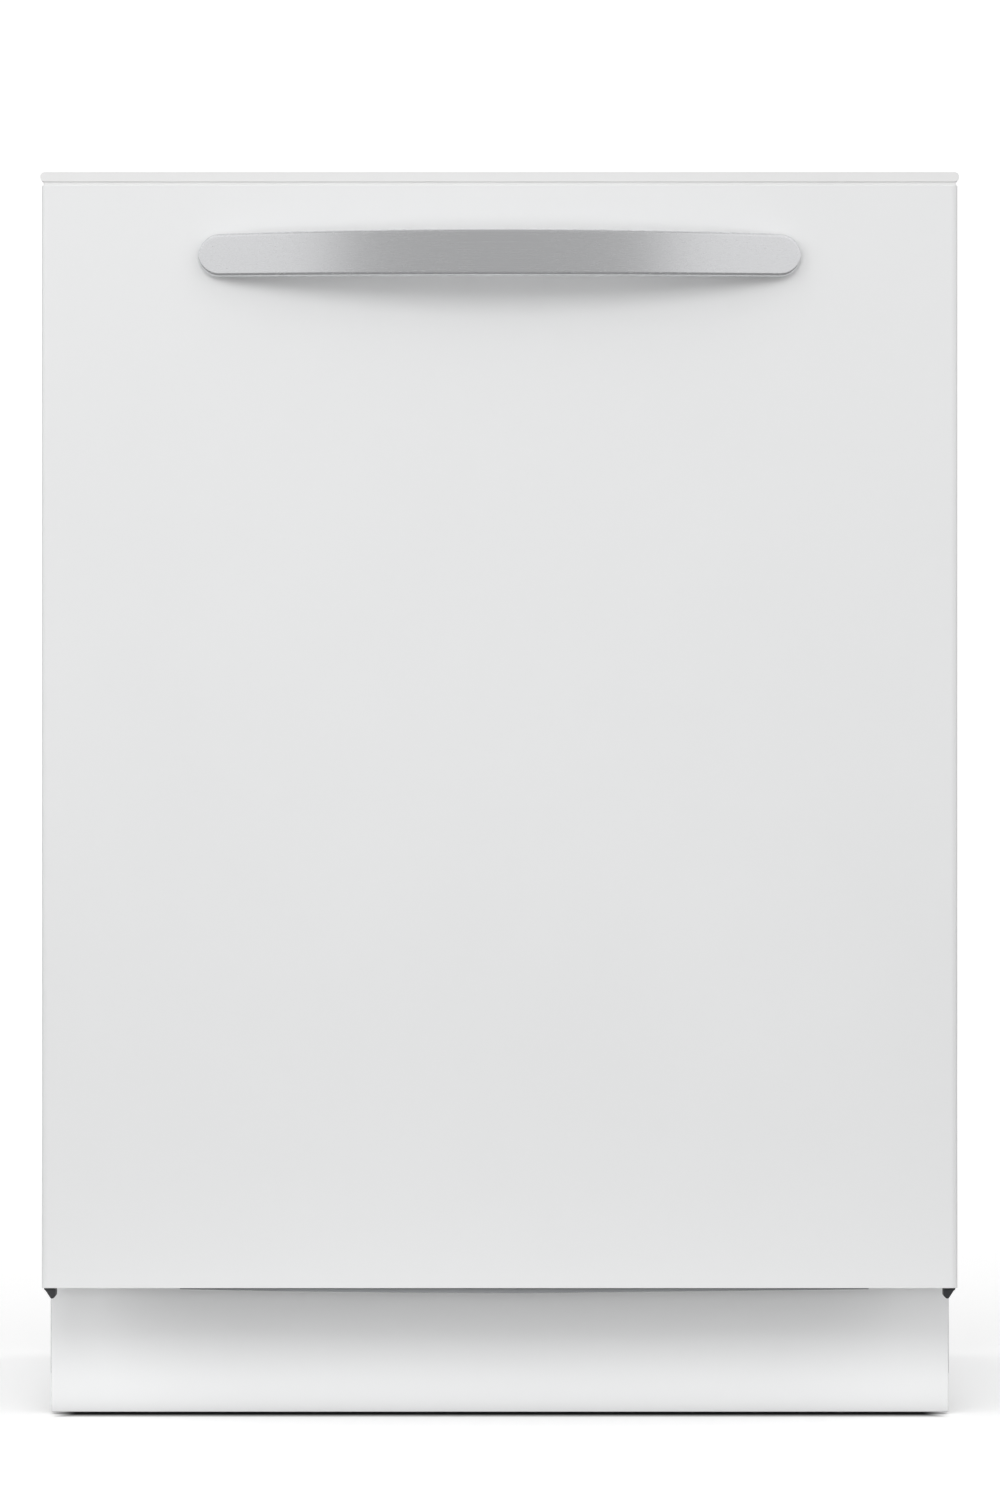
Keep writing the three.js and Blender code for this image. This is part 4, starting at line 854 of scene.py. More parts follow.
class DISHWASHER_OT_door_liner(bpy.types.Operator):
    """Pressed steel inner pan with its hinge arms and screws"""

    bl_idname = "dishwasher.door_liner"
    bl_label = "Door Liner"

    def execute(self, context):
        low, high = corners("door_inner_liner")
        wall = 1.2 * MM
        bend = 7 * MM
        bead = 26 * MM
        depth = 1.6 * MM
        corner = 9 * MM
        bead_corner = 12 * MM

        def outline(inset, radius):
            return round_rectangle((low.z + inset, low.x + inset), (high.z - inset, high.x - inset), radius)

        def ring(inset, y, radius):
            return [place("y", u, v, y) for u, v in outline(inset, radius)]

        rings = [ring(0, low.y, corner)]
        rings += [ring(bend - r[0], high.y - bend + r[1], corner) for r in arc((0, 0), bend, 0, 90, 6)]
        rings += [
            ring(bead + step, high.y - drop, bead_corner)
            for step, drop in ((0, 0), (2 * MM, depth), (9 * MM, depth), (11 * MM, 0))
        ]
        outer = Shape().loft(rings).done()
        inner = Shape()
        inner.prism(outline(wall, 8 * MM), "y", low.y - MM, high.y - bend)
        inner.prism(outline(bend + 2 * MM, 8 * MM), "y", high.y - bend - MM, high.y - wall - depth)
        pan = carved(outer, inner.done())
        plate_low, plate_high = corners("dispenser_body")
        edge = 3 * MM
        hole = Shape().box(
            (plate_low.x + edge, high.y - 6 * MM, plate_low.z + edge),
            (plate_high.x - edge, high.y + MM, plate_high.z - edge),
        )
        for side in SIDES:
            arm_low, arm_high = corners("hinge_arm_" + side)
            pin_low, pin_high = corners("hinge_bracket_" + side)
            inner_x = min(abs(pin_low.x), abs(pin_high.x)) - 1.5 * MM
            outer_x = max(abs(arm_low.x), abs(arm_high.x)) + 4 * MM
            x0, x1 = sorted((SIDES[side] * inner_x, SIDES[side] * outer_x))
            hole.box((x0, low.y - MM, low.z - MM), (x1, high.y - 2.2 * MM, low.z + 2.4 * MM))
        keep("door_inner_liner_pan", carved(pan, hole.done()), "tub_steel", "door_inner_liner")
        for side in SIDES:
            soften("hinge_arm_" + side, 0.4 * MM)
        count = 7
        inset = 11 * MM
        span = high.z - low.z - 60 * MM
        points = [
            (sign * (high.x - inset), high.y + 0.2 * MM, low.z + 30 * MM + span * i / (count - 1))
            for sign in SIDES.values() for i in range(count)
        ]
        screws("liner_screws", points, (0, 1, 0), "door_inner_liner")
        return {"FINISHED"}


class DISHWASHER_OT_handle(bpy.types.Operator):
    """Bowed grip with stadium ends, thickest and tallest at the middle"""

    bl_idname = "dishwasher.handle"
    bl_label = "Door Handle"

    def execute(self, context):
        low, high = corners("door_handle")
        face = corners("door_outer_panel")[0].y
        base = face - 0.4 * MM
        half = (high.x - low.x) / 2
        middle = (low.z + high.z) / 2
        mid_height = high.z - low.z
        end_height = mid_height - 2.3 * MM
        tip = 4 * MM
        pad = 18 * MM
        grip = 9 * MM

        def bow(x, chord, start, rise):
            radius = (chord ** 2 + rise ** 2) / (2 * rise)
            return base - start - (math.sqrt(max(radius ** 2 - x ** 2, 0)) - (radius - rise))

        def height_at(x):
            straight = half - end_height / 2
            if abs(x) <= straight:
                return mid_height + (end_height - mid_height) * (x / straight) ** 2
            return 2 * math.sqrt(max((end_height / 2) ** 2 - (abs(x) - straight) ** 2, 0))

        stations = [-math.cos(math.pi * i / 120) * half for i in range(121)]
        rings = []
        for x in stations:
            front = bow(x, half, tip, base - low.y - tip)
            back = base if abs(x) >= half - pad else bow(x, half - pad, 0, base - low.y - grip)
            tall = max(height_at(x), 0.02 * MM)
            radius = min(sizes().handle_round, tall * 0.49, (back - front) * 0.49)
            outline = round_rectangle((middle - tall / 2, front), (middle + tall / 2, back), radius)
            rings.append([(x, v, u) for u, v in outline])
        shape = Shape().loft(rings)
        stud = 3 * MM
        for sign in SIDES.values():
            at = (middle, sign * (half - 9 * MM))
            shape.lathe([(stud, base - 2 * MM), (stud, high.y)], "y", at, 20)
        keep("door_handle_grip", shape.done(), "brushed_steel", "door_handle", 50)
        return {"FINISHED"}


class DISHWASHER_OT_console(bpy.types.Operator):
    """Control strip, its display cover, buttons, board and door lock"""

    bl_idname = "dishwasher.console"
    bl_label = "Control Console"

    def execute(self, context):
        soften("control_console", 0.7 * MM, 3)
        soften("display_window", 0.5 * MM, 3)
        for name in ("power", "program", "option", "start"):
            node = name + "_button"
            soften(node, 0.9 * MM, 3, slot="grey_plastic")
        panel_low, panel_high = corners("door_outer_panel")
        strip_top = corners("control_console")[1].z
        joint = Shape().box(
            (panel_low.x + 1 * MM, panel_low.y + 0.8 * MM, panel_high.z - 0.1 * MM),
            (panel_high.x - 1 * MM, panel_low.y + 4.6 * MM, strip_top - 6.4 * MM),
        )
        detail("strip_lip", joint.done(), "white_plastic", "control_console")
        board_low, board_high = corners("control_board")
        soften("control_board", 0.3 * MM, slot="board")
        soften("door_latch", 0.8 * MM)
        chip = Shape().box(
            (board_high.x - 60 * MM, board_low.y + 3 * MM, board_low.z + 1.4 * MM),
            (board_high.x - 48 * MM, board_low.y + 12 * MM, board_low.z + 4 * MM),
        )
        row = grown("pieces", rounded(chip.done(), 0.4 * MM), "dark_plastic", Count=4, Step=(-26 * MM, 0, 0))
        detail("board_chips", row, "dark_plastic", "control_board")
        return {"FINISHED"}


class DISHWASHER_OT_dispenser(bpy.types.Operator):
    """Detergent well, sliding lid and rinse aid cap on the door's inside"""

    bl_idname = "dishwasher.dispenser"
    bl_label = "Dispenser"

    def execute(self, context):
        soften("dispenser_body", 0.7 * MM, 3)
        soften("dispenser_lid", 0.9 * MM, 3)
        low, high = corners("rinse_aid_cap")
        radius = (high.x - low.x) / 2
        centre = centre_of("rinse_aid_cap", "y")
        plate = low.y + 6.4 * MM
        dish = plate + 2.2 * MM
        shape = Shape().lathe(
            [
                (PIVOT, low.y), (radius - 5 * MM, low.y), (radius - 5 * MM, plate),
                (radius - 0.8 * MM, plate), (radius, plate + 0.8 * MM), (radius, plate + 2 * MM),
                (radius - 1 * MM, plate + 3 * MM), (radius - 3 * MM, plate + 3 * MM),
                (radius - 4 * MM, dish), (PIVOT, dish),
            ],
            "y", centre, 64,
        )
        grip = Shape().box(
            (centre[1] - 3 * MM, plate + 1 * MM, centre[0] - radius + 4 * MM),
            (centre[1] + 3 * MM, high.y, centre[0] + radius - 4 * MM),
        )
        cap = joined([shape.done(), rounded(grip.done(), 1.1 * MM, 3)])
        keep("rinse_aid_cap_turned", cap, "dark_plastic", "rinse_aid_cap")
        return {"FINISHED"}


# ---- Tub and frame ---------------------------------------------------------------------------


class DISHWASHER_OT_tub(bpy.types.Operator):
    """Wash tub, its gasket, felt wrap and pressed ribs"""

    bl_idname = "dishwasher.tub"
    bl_label = "Tub"

    def execute(self, context):
        flange_low, high = corners("tub")
        wall = 1.2 * MM
        wheel_low = corners("wheel_front_left")[0]
        rail_high = corners("upper_rail_right")[1]
        half = rail_high.x + 0.4 * MM
        ledge = wheel_low.z - 0.4 * MM
        step = half - 40 * MM
        floor = ledge - 30 * MM
        top = corners("feed_tube")[1].z + 0.4 * MM
        back = high.y - wall
        front = flange_low.y

        def section(grow):
            big, small = 22 * MM, 8 * MM
            outline = []
            for sign, order in ((1, 1), (-1, -1)):
                wide = half + grow
                inner = step + grow
                side = arc((floor + 14 * MM - grow, inner - 14 * MM), 14 * MM, 180, 90, 6)
                side += arc((ledge - small - grow, inner + small), small, -90, 0, 5)
                side += arc((ledge + small - grow, wide - small), small, 180, 90, 5)
                side += arc((top + grow - big, wide - big), big, 90, 0, 8)
                side = [(u, v * sign) for u, v in side]
                outline += side[::order]
            return outline

        outer = Shape().prism(section(wall), "y", front, back + wall).done()
        flange_outline = round_rectangle((flange_low.z, flange_low.x), (high.z, high.x), 14 * MM)
        flange = Shape().prism(flange_outline, "y", front, front + wall).done()
        shell = carved(outer, flange, "UNION")
        hollow = rounded(Shape().prism(section(0), "y", front - 20 * MM, back).done(), 5 * MM, 4, 60)
        sump_low, sump_high = corners("sump")
        radius = (sump_high.x - sump_low.x) / 2 - 9.4 * MM
        well = Shape().lathe(
            [(radius, floor - 12 * MM), (radius, floor + 12 * MM)], "z", centre_of("sump", "z"), 64
        )
        tub = carved(carved(shell, hollow), well.done())
        keep("tub_shell", tub, "tub_steel", "tub")

        rib = Shape().prism(
            [(0, -6 * MM), (0, 6 * MM), (1.5 * MM, 3.5 * MM), (1.5 * MM, -3.5 * MM)], "z",
            floor + 130 * MM, top - 90 * MM,
        ).done()
        rib.transform(Matrix.Translation((0, back + 0.1 * MM, 0)) @ Matrix.Rotation(-math.pi / 2, 4, "Z"))
        columns = 3
        pitch = 62 * MM
        rows = []
        for sign in SIDES.values():
            step = (sign * pitch, 0, 0)
            rows.append(grown("pieces", moved(rib, step), "tub_steel", Count=columns, Step=step))
        detail("tub_back_ribs", joined(rows), "tub_steel", "tub")

        soften("tub_gasket", 1.2 * MM, 3)
        soften("insulation_wrap", 2.5 * MM, 4)
        return {"FINISHED"}


class DISHWASHER_OT_frame(bpy.types.Operator):
    """Side panels, cross rail, brackets, strike, base tray and hinge brackets"""

    bl_idname = "dishwasher.frame"
    bl_label = "Frame"

    def execute(self, context):
        soften("cross_rail", 0.5 * MM)
        soften("latch_strike", 0.5 * MM)
        soften("base_tray", 1.0 * MM)
        for side, sign in SIDES.items():
            panel = "side_panel_" + side
            soften("worktop_bracket_" + side, 0.5 * MM)
            soften(panel, 0.3 * MM)
            soften("hinge_bracket_" + side, 0.5 * MM)
            soften("upper_rail_" + side, 0.5 * MM)
            low, high = corners(panel)
            outside = max(abs(low.x), abs(high.x))
            inner, outer = sign * (outside - 0.4 * MM), sign * (outside + 1.0 * MM)
            bead = Shape().prism(
                [(inner, -9 * MM), (outer, -5 * MM), (outer, 5 * MM), (inner, 9 * MM)],
                "z", low.z + 150 * MM, high.z - 90 * MM,
            ).done()
            bead = moved(bead, (0, low.y + 90 * MM, 0))
            row = grown("pieces", bead, "zinc_steel", Count=3, Step=(0, 150 * MM, 0))
            detail("side_beads_" + side, row, "zinc_steel", panel)
            points = [(sign * outside, low.y + 18 * MM, low.z + 110 * MM + 120 * MM * i) for i in range(6)]
            points += [(sign * outside, high.y - 16 * MM, low.z + 30 * MM + 140 * MM * i) for i in range(6)]
            screws("side_screws_" + side, points, (sign, 0, 0), panel, 3.6 * MM, 1.4 * MM)
        low, high = corners("cross_rail")
        points = [(x * MM, (low.y + high.y) / 2, high.z) for x in (-270, -90, 90, 270)]
        screws("rail_screws", points, UP, "cross_rail", 3.4 * MM, 1.6 * MM)
        return {"FINISHED"}


class DISHWASHER_OT_springs(bpy.types.Operator):
    """Counterbalance springs beside the tub"""

    bl_idname = "dishwasher.springs"
    bl_label = "Door Springs"

    def execute(self, context):
        for side in SIDES:
            node = "door_spring_" + side
            low, high = corners(node)
            gauge = 1.0 * MM
            radius = (high.x - low.x) / 2 - gauge
            hook = 14 * MM
            centre = ((low.x + high.x) / 2, low.y + hook, (low.z + high.z) / 2)
            span = high.y - low.y - 2 * hook
            coil = grown(
                "spring", run_of_edges([(0, 0, 0)]), "zinc_steel",
                Turns=float(sizes().spring_turns * 2), Coil_Radius=radius, Wire_Radius=gauge, Length=span,
            )
            coil.transform(Matrix.Translation(centre) @ Matrix.Rotation(-math.pi / 2, 4, "X"))
            meshes = [coil]
            for end, way in ((centre[1], -1), (centre[1] + span, 1)):
                loop = [(radius, 0), (0, way * 4 * MM)] + [
                    (v, way * (8 * MM) + way * u) for u, v in arc((0, 0), 5 * MM, -90, 150, 10)
                ]
                points = [(centre[0], end + v, centre[2] + u) for u, v in loop]
                meshes.append(wires(points, radius=gauge, bend=1 * MM, slot="zinc_steel"))
            keep(node + "_coil", joined(meshes), "zinc_steel", node, 60)
        return {"FINISHED"}


class DISHWASHER_OT_feet(bpy.types.Operator):
    """Adjustable feet with threaded stems"""

    bl_idname = "dishwasher.feet"
    bl_label = "Feet"

    def execute(self, context):
        stem, pitch = 5 * MM, 2 * MM
        root = stem - 0.8 * MM
        for node in FEET:
            low, high = corners(node)
            centre = centre_of(node, "z")
            pad = (high.x - low.x) / 2
            pad_top = low.z + 7 * MM
            nut_top = pad_top + 6 * MM
            disc = Shape().lathe(
                [
                    (pad - 1.5 * MM, low.z), (pad, low.z + 1.5 * MM), (pad, low.z + 4 * MM),
                    (pad - 3 * MM, pad_top - 0.4 * MM), (stem + 5 * MM, pad_top),
                ],
                "z", centre, 48,
            ).done()
            across = stem + 4 * MM
            nut = Shape().lathe([(across, pad_top - MM), (across, nut_top)], "z", centre, 6).done()
            count = int((high.z - nut_top) / pitch)
            thread = [(root, nut_top - MM)]
            for i in range(count):
                thread += [(root, nut_top + i * pitch), (stem, nut_top + (i + 0.5) * pitch)]
            thread += [(root, nut_top + count * pitch), (stem - 1.4 * MM, high.z)]
            screw = Shape().lathe(thread, "z", centre, 28).done()
            foot = joined([disc, rounded(nut, 0.5 * MM), screw])
            keep(node + "_threaded", foot, "dark_plastic", node, 30)
        return {"FINISHED"}


# ---- Wash system -----------------------------------------------------------------------------


class DISHWASHER_OT_sump(bpy.types.Operator):
    """Sump with its post, perforated plate, turning filter and float"""

    bl_idname = "dishwasher.sump"
    bl_label = "Sump and Filter"

    def execute(self, context):
        low, high = corners("sump")
        plate_low, plate_high = corners("filter_plate")
        centre = centre_of("sump", "z")
        rim = (high.x - low.x) / 2
        cup = rim - 10 * MM
        rim_top = plate_low.z - 2.0 * MM
        bowl = Shape().lathe(
            [
                (PIVOT, low.z), (cup - 6 * MM, low.z), (cup - 1.8 * MM, low.z + 1.8 * MM),
                (cup, low.z + 6 * MM), (cup, rim_top - 3 * MM), (rim - MM, rim_top - 3 * MM),
                (rim, rim_top - 2 * MM), (rim, rim_top - MM), (rim - MM, rim_top),
                (cup - 3 * MM, rim_top), (cup - 3 * MM, low.z + 8 * MM),
                (cup - 8 * MM, low.z + 3 * MM), (PIVOT, low.z + 3 * MM),
            ],
            "z", centre, 96,
        )
        post_centre = (0.0, centre_of("lower_spray_arm", "z")[1])
        shoulder = corners("lower_spray_arm")[0].z - 0.4 * MM
        post = Shape().lathe(
            [
                (14 * MM, low.z + 2 * MM), (14 * MM, shoulder - MM), (13 * MM, shoulder),
                (8 * MM, shoulder), (8 * MM, high.z - 1.5 * MM), (6.5 * MM, high.z),
            ],
            "z", post_centre, 48,
        )
        keep("sump_moulding", joined([bowl.done(), post.done()]), "dark_plastic", "sump")

        soften("filter_plate", 0.4 * MM)
        pitch = 7 * MM
        reach = (plate_high.x - plate_low.x) / 2 - 6 * MM
        cup_low, cup_high = corners("filter_cup")
        cup_centre = Vector(centre_of("filter_cup", "z"))
        filter_radius = (cup_high.x - cup_low.x) / 2
        points = []
        steps = int(reach / pitch) + 1
        for i in range(-steps, steps + 1):
            for j in range(-steps, steps + 1):
                spot = Vector(((i + 0.5 * (j % 2)) * pitch, j * pitch * math.sqrt(0.75)))
                at = spot + Vector(centre)
                clear_of_cup = (at - cup_centre).length > filter_radius + 4 * MM
                clear_of_post = (at - Vector(post_centre)).length > 19 * MM
                if spot.length < reach and clear_of_cup and clear_of_post:
                    points.append((at.x, at.y, plate_high.z - 0.25 * MM))
        screws("filter_perforations", points, UP, "filter_plate", 1.7 * MM, 0.6 * MM, "dark_plastic")

        radius = filter_radius
        wall = 1.6 * MM
        top = cup_high.z
        bore = radius - wall - 3 * MM
        collar = corners("tub")[0].z + 28 * MM
        tube = Shape().lathe(
            [
                (radius - wall, cup_low.z), (radius - 3 * MM, cup_low.z), (radius - 3 * MM, collar - 9 * MM),
                (radius, collar - 8 * MM), (radius, collar - MM), (radius - MM, collar), (bore, collar),
                (bore, cup_low.z + 2 * MM), (PIVOT, cup_low.z + 2 * MM), (PIVOT, cup_low.z),
            ],
            "z", tuple(cup_centre), 64,
        )
        bridge = Shape().box(
            (cup_centre.x - radius + 1.5 * MM, cup_centre.y - 2 * MM, collar - 9 * MM),
            (cup_centre.x + radius - 1.5 * MM, cup_centre.y + 2 * MM, top),
        )
        slats = 26
        half = 0.9 * MM
        rib = Shape().box((-half, -half, cup_low.z + 4 * MM), (half, half, collar - 12 * MM)).done()
        ribs = []
        for i in range(slats):
            turn = 2 * math.pi * i / slats
            out = Vector((math.cos(turn), math.sin(turn))) * (radius - 2.6 * MM)
            ribs.append(moved(rib, (cup_centre + out).to_3d()))
        whole = joined([tube.done(), rounded(bridge.done(), 1.4 * MM, 3)] + ribs)
        keep("filter_cup_ribbed", whole, "grey_plastic", "filter_cup")

        low, high = corners("float_bell")
        radius = (high.x - low.x) / 2
        bell = Shape().lathe(
            [
                (radius - 2 * MM, low.z), (radius, low.z), (radius, high.z - 5 * MM),
                (radius - 1.5 * MM, high.z - 1.5 * MM), (radius - 5 * MM, high.z), (PIVOT, high.z),
                (PIVOT, high.z - 3 * MM), (radius - 5 * MM, high.z - 3 * MM),
                (radius - 2 * MM, high.z - 6 * MM), (radius - 2 * MM, low.z),
            ],
            "z", centre_of("float_bell", "z"), 48,
        )
        keep("float_bell_moulding", bell.done(), "grey_plastic", "float_bell")
        return {"FINISHED"}


class DISHWASHER_OT_spray_arms(bpy.types.Operator):
    """Spray arms with their nozzles, and the feed duct"""

    bl_idname = "dishwasher.spray_arms"
    bl_label = "Spray Arms"

    def execute(self, context):
        for node in ("lower_spray_arm", "upper_spray_arm"):
            soften(node, 2.6 * MM, 4)
            low, high = corners(node)
            middle_x, middle_y = centre_of(node, "z")
            reach = (high.x - low.x) / 2
            points = []
            for sign in SIDES.values():
                for i in range(7):
                    along = sign * reach * (0.28 + 0.095 * i)
                    aside = sign * (4 if i % 2 else -4) * MM
                    points.append((middle_x + along, middle_y + aside, high.z - 0.7 * MM))
            name = node.replace("_arm", "_nozzles")
            screws(name, points, UP, node, 3.6 * MM, 1.2 * MM, "dark_plastic")
        soften("feed_tube", 1.6 * MM, 3)
        return {"FINISHED"}


class DISHWASHER_OT_pumps(bpy.types.Operator):
    """Pumps, inlet valve and terminal box in the base"""

    bl_idname = "dishwasher.pumps"
    bl_label = "Pumps and Valve"

    def execute(self, context):
        for node in ("circulation_pump", "drain_pump", "inlet_valve"):
            soften(node, 0.9 * MM)
        high = corners("circulation_pump")[1]
        centre = (centre_of("circulation_pump", "x")[0], high.z - 40 * MM)
        case, tip, thick = 38 * MM, 41.4 * MM, 2.2 * MM
        fin = Shape().lathe([(case, 0), (tip, 0), (tip, thick), (case, thick), (case, 0)], "x", centre, 48)
        first = moved(fin.done(), (high.x - 84 * MM, 0, 0))
        fins = grown("pieces", first, "dark_plastic", Count=10, Step=(8 * MM, 0, 0))
        detail("pump_fins", fins, "dark_plastic", "circulation_pump")
        box_low = Vector((172 * MM, -121 * MM, 29.5 * MM))
        box_high = Vector((242 * MM, -81 * MM, 79 * MM))
        case = rounded(Shape().box(box_low, box_high).done(), 2 * MM, 3)
        lid = rounded(Shape().box(
            (box_low.x + 3 * MM, box_low.y - 1.4 * MM, box_low.z + 3 * MM),
            (box_high.x - 3 * MM, box_low.y + MM, box_high.z - 3 * MM),
        ).done(), 0.8 * MM)
        detail("terminal_box", joined([case, lid]), "dark_plastic", "base_tray")
        return {"FINISHED"}


# ---- Racks -----------------------------------------------------------------------------------


def spread(low, high, count):
    """How far apart count wires lie between two places."""
    return (high - low) / (count - 1)


def hoop(half, front, rear, level, gauge):
    """A closed wire round a rack at one level."""
    points = [(-half, front, level), (half, front, level), (half, rear, level), (-half, rear, level)]
    return wires(points, radius=gauge, bend=14 * MM, closed=True)


def tine_row(x, y, z, count, step, height, radius):
    """Upright wires with rounded tops on a line, standing at (x, y, z) and repeated by step."""
    bead = 1.2 * radius
    top = z + height
    peg = Shape().lathe(
        [
            (radius, z), (radius, top - 2 * bead), (bead, top - 1.6 * bead),
            (bead, top - 0.6 * bead), (0.45 * radius, top),
        ],
        "z", (x, y), 10,
    )
    return grown("pieces", peg.done(), "wire_coat", Count=count, Step=step)


class DISHWASHER_OT_lower_rack(bpy.types.Operator):
    """Lower rack's coated wires, wheel hangers and folding tines"""

    bl_idname = "dishwasher.lower_rack"
    bl_label = "Lower Rack"

    def execute(self, context):
        low, high = corners("lower_rack")
        rod_low, rod_high = corners("folding_tines")
        wheel_low, wheel_high = corners("wheel_front_right")
        size = sizes()
        thin, thick = size.wire_radius, size.rim_radius
        grid = rod_low.z - 2.4 * MM
        rim = high.z - thick
        shoulder = wheel_high.z + 11.4 * MM
        step_x = wheel_low.x - 3.6 * MM
        rim_x = high.x - thick
        front, rear = low.y + thick, high.y - thick
        under = grid - 2 * thin
        meshes = []
        across_count = 15
        first = front + 14 * MM
        last = rear - 14 * MM
        inner_x = rim_x - thick - thin
        meshes.append(wires(
            [(-inner_x, first, rim), (-inner_x, first, shoulder), (-step_x, first, shoulder - 6 * MM),
             (-step_x, first, under), (step_x, first, under), (step_x, first, shoulder - 6 * MM),
             (inner_x, first, shoulder), (inner_x, first, rim)],
            across_count, (0, spread(first, last, across_count), 0),
        ))
        along_count = 13
        side = step_x - 12 * MM
        meshes.append(wires(
            [(-side, front + thick, rim), (-side, front + thick, grid), (-side, rear - thick, grid),
             (-side, rear - thick, rim)],
            along_count, (spread(-side, side, along_count), 0, 0),
        ))
        for level, gauge in ((rim, thick), ((rim + shoulder) / 2, thin), (shoulder + 10 * MM, thin)):
            meshes.append(hoop(rim_x, front, rear, level, gauge))
        clip_x = rod_high.x - 12 * MM
        rod_y = rod_low.y + 2 * MM
        for sign in SIDES.values():
            for way in SIDES.values():
                x, y = sign * clip_x, rod_y + way * 4.2 * MM
                meshes.append(wires([(x, y, under), (x, y, grid + 9 * MM)], radius=1.6 * MM))
        basket_high = corners("cutlery_basket")[1]
        tine_x, tine_count = side - 9 * MM, 15
        for y in (basket_high.y + 28 * MM, basket_high.y + 66 * MM, rear - 60 * MM):
            step = (spread(-tine_x, tine_x, tine_count), 0, 0)
            meshes.append(tine_row(-tine_x, y, grid, tine_count, step, 82 * MM, thin))
            meshes.append(wires([(-step_x, y, grid - 0.5 * thin), (step_x, y, grid - 0.5 * thin)]))
        for node in WHEELS:
            box_low, box_high = corners(node)
            y, z = centre_of(node, "x")
            sign = 1 if box_low.x > 0 else -1
            inner = min(abs(box_low.x), abs(box_high.x))
            outer = max(abs(box_low.x), abs(box_high.x))
            x0, x1 = sorted((sign * (inner - 4 * MM), sign * (inner - 12 * MM)))
            hanger = Shape().box((x0, y - 9 * MM, z - 6 * MM), (x1, y + 9 * MM, grid + 14 * MM))
            meshes.append(rounded(hanger.done(), 1.8 * MM, 3))
            x0, x1 = sorted((sign * (inner - 8 * MM), sign * (outer + 3.6 * MM)))
            pin, nose, taper = 3 * MM, 2.4 * MM, 0.6 * MM
            profile = [(nose, x0), (pin, x0 + taper), (pin, x1 - taper), (nose, x1)]
            meshes.append(Shape().lathe(profile, "x", (y, z), 24).done())
        keep("lower_rack_wires", joined(meshes), "wire_coat", "lower_rack", 60)

        rod_z = rod_low.z + 2 * MM
        rod = wires([(rod_low.x, rod_y, rod_z), (rod_high.x, rod_y, rod_z)], radius=1.9 * MM)
        count = 12
        edge = clip_x - 14 * MM
        step = (spread(-edge, edge, count), 0, 0)
        tines = tine_row(-edge, rod_y, rod_z, count, step, rod_high.z - rod_low.z - 2 * MM, 1.6 * MM)
        keep("folding_tine_row", joined([rod, tines]), "wire_coat", "folding_tines", 60)
        return {"FINISHED"}


class DISHWASHER_OT_basket(bpy.types.Operator):
    """Slotted cutlery basket with its bail"""

    bl_idname = "dishwasher.basket"
    bl_label = "Cutlery Basket"

    def execute(self, context):
        low, high = corners("cutlery_basket")
        wall = 2.2 * MM
        top = high.z - 44 * MM
        cells = 4
        meshes = []

        def add(corner, opposite, count=1, step=(0, 0, 0), rows=1, row_step=(0, 0, 0), bevel=0.5 * MM):
            piece = rounded(Shape().box(corner, opposite).done(), bevel)
            repeats = {"Count": count, "Step": step, "Rows": rows, "Row_Step": row_step}
            meshes.append(grown("pieces", piece, "grey_plastic", **repeats))

        width, depth = high.x - low.x, high.y - low.y
        belt = (low.z + top) / 2
        for z0, z1 in ((low.z, low.z + 12 * MM), (top - 12 * MM, top), (belt - 4 * MM, belt + 4 * MM)):
            add((low.x, low.y, z0), (high.x, low.y + wall, z1), 2, (0, depth - wall, 0))
            add((low.x, low.y, z0), (low.x + wall, high.y, z1), 2, (width - wall, 0, 0))
        slat, inset, fine = 3.2 * MM, 0.2 * MM, 0.3 * MM
        foot, head = low.z + 2 * MM, top - 2 * MM
        slats = 27
        add(
            (low.x, low.y + inset, foot), (low.x + slat, low.y + wall - inset, head),
            slats, (spread(low.x, high.x - slat, slats), 0, 0), 2, (0, depth - wall, 0), fine,
        )
        end_slats = 9
        add(
            (low.x + inset, low.y, foot), (low.x + wall - inset, low.y + slat, head),
            end_slats, (0, spread(low.y, high.y - slat, end_slats), 0), 2, (width - wall, 0, 0), fine,
        )
        x0, y0, x1, y1 = low.x + wall, low.y + wall, high.x - wall, high.y - wall
        bar = 2.2 * MM
        bars_along, bars_across = 40, 13
        step = (spread(x0, x1 - bar, bars_along), 0, 0)
        add((x0, y0, low.z), (x0 + bar, y1, foot), bars_along, step, bevel=fine)
        step = (0, spread(y0, y1 - bar, bars_across), 0)
        add((x0, y0, low.z), (x1, y0 + bar, foot), bars_across, step, bevel=fine)
        pitch = (width - wall) / cells
        divider = low.x + pitch
        add((divider, low.y + MM, foot), (divider + wall, high.y - MM, head), cells - 1, (pitch, 0, 0))
        middle = (low.y + high.y) / 2
        x0, x1 = low.x + 1.4 * MM, high.x - 1.4 * MM
        z0, z1 = top - 8 * MM, high.z - 3 * MM
        bail = [(x0, middle, z0), (x0, middle, z1), (x1, middle, z1), (x1, middle, z0)]
        loop = wires(bail, radius=1.35 * MM, bend=10 * MM, slot="grey_plastic")
        grip = Shape().box(
            (low.x + width * 0.3, middle - 5 * MM, high.z - 6 * MM),
            (high.x - width * 0.3, middle + 5 * MM, high.z),
        )
        meshes += [loop, rounded(grip.done(), 2 * MM, 4)]
        keep("cutlery_basket_lattice", joined(meshes), "grey_plastic", "cutlery_basket")
        return {"FINISHED"}


